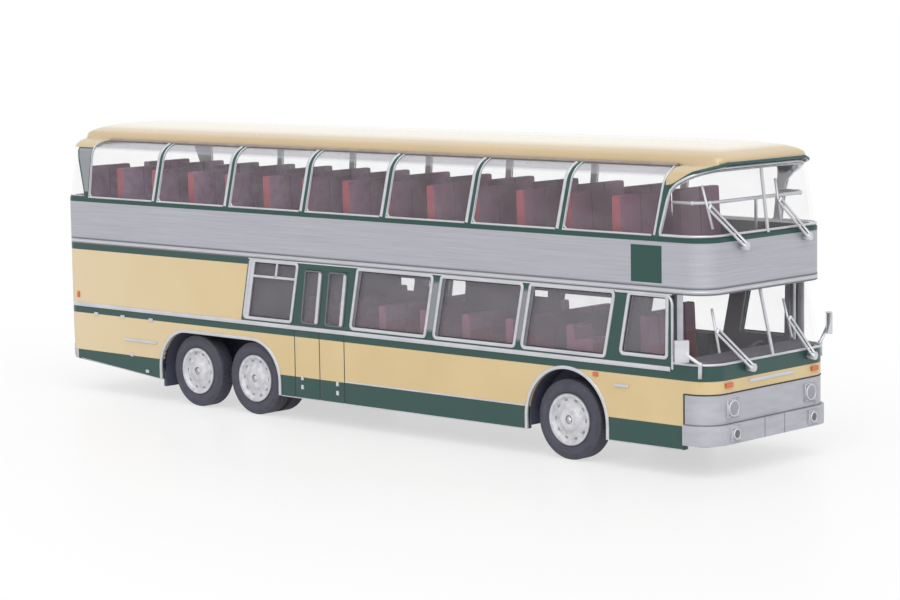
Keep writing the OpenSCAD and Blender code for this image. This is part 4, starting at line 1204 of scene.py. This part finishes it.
def roof_plan(z):
    """The same of the roof, which runs on above the glass as a visor."""
    if z > EAVES:
        share = min(1, (z - EAVES) / 0.99)
        return FRONT_X - 0.5 - 0.6 * share, EAVES_HALF - 0.15 * share, 2.1 - 0.5 * share
    return FRONT_X - 1.4 + turned(z) / 100, upper_half(z), CORNER_R - turned(z) / 60


def low_plan(z):
    """The same of the lower body and its windscreen."""
    return FRONT_X, HALF, CORNER_R


SCREEN_EDGE = along_side([(60.6, 33.71), (61.9, 39.4), (63.1, 40.5), (65.0, 41.57), (67.0, 42.48),
                          (70.25, 43.55)])
VISOR_EDGE = along_side([(61.15, 40.5), (62.3, 40.74), (63.3, 41.29), (65.2, 42.51), (67.0, 43.0),
                         (67.8, 43.244), (70.25, 44.616)])
head_edge = wrapped(lambda x: SCREEN_EDGE(x) + HEAD_LIFT, glass_plan, SCREEN_START, 0.05)
sill_edge = wrapped(lambda x: SCREEN_SILL, glass_plan, SCREEN_START, 0.02)
bead("upper_screen_frame", [head_edge + sill_edge[::-1]], SCREEN_FRAME_R, closed=True)
lip_edge = wrapped(lambda x: VISOR_EDGE(x) - 0.2, roof_plan, LIP_START, -0.12)
bead("visor_lip", [lip_edge], VISOR_LIP_R, post_green)
low_sill = wrapped(lambda x: SILL + 0.02, low_plan, LOW_START, 0.02)
bead("lower_screen_sill", [low_sill], LOW_SILL_R)
# Painted shade: a brownish-grey bead under each roof edge stands for the roof's flange in shadow, seen
# through the glass.
eaves_shadows = [[(x, side * EAVES_SHADOW_Y, EAVES_SHADOW_Z) for x in EAVES_SHADOW_X] for side in SIDES]
bead("roof_eaves_shadows", eaves_shadows, EAVES_SHADOW_R, eaves_shadow_brown)
print("wrapped edges:", len(head_edge), len(lip_edge), len(low_sill))

# %% [markdown]
# Dark joints separate the silver grille, the bumper and the cream above them. A thin dark bead let into
# each joint makes it read at this scale, where a real gap would close up.

# %% Joints of the front
PANEL_X = 64.7
GRILLE_TOP = 11.7
BUMPER_TOP = 7.4
BUMPER_OUT = 0.5
SEAM_Y = 2.35
SEAM_Z = (4.62, BUMPER_TOP - 0.02)
SEAM = (0.14, 0.1)
GRILLE_JOINT_R = 0.12
BUMPER_JOINT_R = 0.11
LAMP_Y = 9.2
BEZEL_OUT = 0.25
HEADLAMP = (9.55, 1.08)
FOG_LAMP = (6.0, 0.68)
LAMP_RING_R = 0.13
FRONT_BAR_Z = 12.95
FRONT_BAR_Y = (-5.3, 5.3)
FRONT_BAR = (0.5, 0.2)
AHEAD = (1, 0, 0)
joint_top = wrapped(lambda x: GRILLE_TOP, low_plan, PANEL_X, -0.02)
joint_low = wrapped(lambda x: BUMPER_TOP + 0.03, low_plan, PANEL_X, 0.04)
ends = [[(PANEL_X, side * HALF, BUMPER_TOP), (PANEL_X, side * HALF, GRILLE_TOP)] for side in SIDES]
bead("grille_joints", [joint_top] + ends, GRILLE_JOINT_R, chassis_plastic)
bead("bumper_joint", [joint_low], BUMPER_JOINT_R, groove_grey)
seams = [[(FRONT_X + BUMPER_OUT, side * SEAM_Y, z) for z in SEAM_Z] for side in SIDES]
strip("bumper_seams", seams, *SEAM, AHEAD, front_grey)
rings = []
for side in SIDES:
    for x, (z, radius) in ((FRONT_X + BEZEL_OUT, HEADLAMP), (FRONT_X + BUMPER_OUT + BEZEL_OUT, FOG_LAMP)):
        rings.append([(x, side * LAMP_Y + y, z + dz) for y, dz in arc(0, 0, radius, 0, 345, 23)])
bead("lamp_rings", rings, LAMP_RING_R, closed=True)
strip("front_bar", [[(FRONT_X, y, FRONT_BAR_Z) for y in FRONT_BAR_Y]], *FRONT_BAR, AHEAD)
print("front joints and", len(rings), "lamp rings")

# %% [markdown]
# Wheel nuts repeat in a ring on every wheel. One tree does it: a circle of points is set on each wheel
# centre, a six-sided nut on each point, and the whole turned by the axle it rides on.

# %% Wheel nuts
NUTS = 10
NUT_SIDES = 6
NUT_RING = 2.72
NUT_SIZE = 0.33
NUT_HIGH = 0.22
WHEEL_FACE = 13.28


def nut_tree():
    tree, given = new_tree("nut_ring", {"Count": "Int", "Ring": "Float", "Nut": "Float", "High": "Float",
                                        "Material": "Material"})
    circle = add(tree, "GeometryNodeMeshCircle", {"Vertices": given["Count"], "Radius": given["Ring"]})[0]
    nut = add(tree, "GeometryNodeMeshCylinder",
              {"Vertices": NUT_SIDES, "Radius": given["Nut"], "Depth": given["High"]})[0]
    ring = add(tree, "GeometryNodeInstanceOnPoints", {"Points": circle, "Instance": nut})[0]
    upright = add(tree, "GeometryNodeInstanceOnPoints",
                  {"Points": given["Geometry"], "Instance": ring, "Rotation": (math.pi / 2, 0, 0)})[0]
    close_tree(tree, upright, given["Material"])
    return tree


NUT_TREE = nut_tree()
NUT_INPUTS = {"Count": NUTS, "Ring": NUT_RING * MM, "Nut": NUT_SIZE * MM, "High": NUT_HIGH * MM,
              "Material": nut_grey}
for axle, x in AXLE_X.items():
    centres = [(x, side * WHEEL_FACE, AXLE_Z) for side in SIDES]
    grown(axle + "_wheel_nuts", centres, [], NUT_TREE, NUT_INPUTS, axle + "_axle")
print("nuts:", NUTS * len(SIDES) * len(AXLE_X))

# %% [markdown]
# The last fittings are small raised plates: hinges, a handle, lamps on the side. Each is a box with
# eased edges; plates of one finish are joined into one piece.

# %% Small fittings
EASE_SHARE = 0.22


def plates(name, items, material, body="coach"):
    """Boxes of (centre, size, turn about z in degrees), with eased edges, as one piece."""
    work = bmesh.new()
    for centre, size, turn in items:
        made = bmesh.ops.create_cube(work, size=MM)["verts"]
        where = (Matrix.Translation(Vector(centre) * MM) @ Matrix.Rotation(math.radians(turn), 4, "Z")
                 @ Matrix.Diagonal((*size, 1)))
        bmesh.ops.transform(work, matrix=where, verts=made)
        edges = list({edge for vert in made for edge in vert.link_edges})
        bmesh.ops.bevel(work, geom=edges, offset=min(size) * EASE_SHARE * MM, segments=2, affect="EDGES",
                        profile=0.6)
    mesh = bpy.data.meshes.new(name)
    work.to_mesh(mesh)
    work.free()
    mesh.materials.append(material)
    piece = placed(name, mesh)
    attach(piece, body)


PROUD = 0.1
REAR_HANDLE = (8.2, 0.24, 0.42)
CAB_HANDLE = (2.6, 0.3, 0.42)
FLAP_HINGE = (1.0, 0.2, 0.5)
FLAP_HINGE_X = (-62.0, -55.05, -47.8)
LATCH = (0.8, 0.2, 0.6)
LOW_LATCH = (0.8, 0.2, 0.5)
SIDE_MARKER = (0.9, 0.36, 0.6)
REAR_MARKER = (0.55, 0.3, 1.0)
DOOR_HINGE = (0.55, 0.24, 0.7)
DOOR_HINGES = ((-11.46, 7.09), (-11.46, 5.64), (-3.58, 6.85), (-3.58, 5.43))
bright = []
orange = []
for side in SIDES:
    face = side * (HALF + PROUD / 2)
    bright += [((-50.6, face, 9.84), REAR_HANDLE, 0), ((53.65, face, 11.91), CAB_HANDLE, 0)]
    bright += [((x, face, 13.64), FLAP_HINGE, 0) for x in FLAP_HINGE_X]
    bright += [((-52.9, face, 7.35), LATCH, 0), ((-49.0, face, 4.85), LOW_LATCH, 0)]
    orange += [((48.83, face, 13.12), SIDE_MARKER, 0), ((-66.57, face, 16.7), REAR_MARKER, 0)]
bright += [((x, -HALF - PROUD / 2, z), DOOR_HINGE, 0) for x, z in DOOR_HINGES]
plates("side_fittings", bright, trim_silver)
plates("side_markers", orange, amber_lens)
MIRROR_Y = 15.75
MIRROR_TURN = 40
MIRROR_BACK = 0.43
MIRROR_SIZE = (0.12, 1.7, 2.8)
backs = []
for side, x, z in ((-1, FRONT_X - 3.85, SILL + 2), (1, FRONT_X - 1.2, SILL + 2.95)):
    turn = math.radians(side * MIRROR_TURN)
    centre = (x - MIRROR_BACK * math.cos(turn), side * MIRROR_Y - MIRROR_BACK * math.sin(turn), z)
    backs.append((centre, MIRROR_SIZE, side * MIRROR_TURN))
plates("mirror_glasses", backs, mirror_glass)
print("fittings:", len(bright), "bright,", len(orange), "orange")

# %% Finish
bpy.context.view_layer.update()
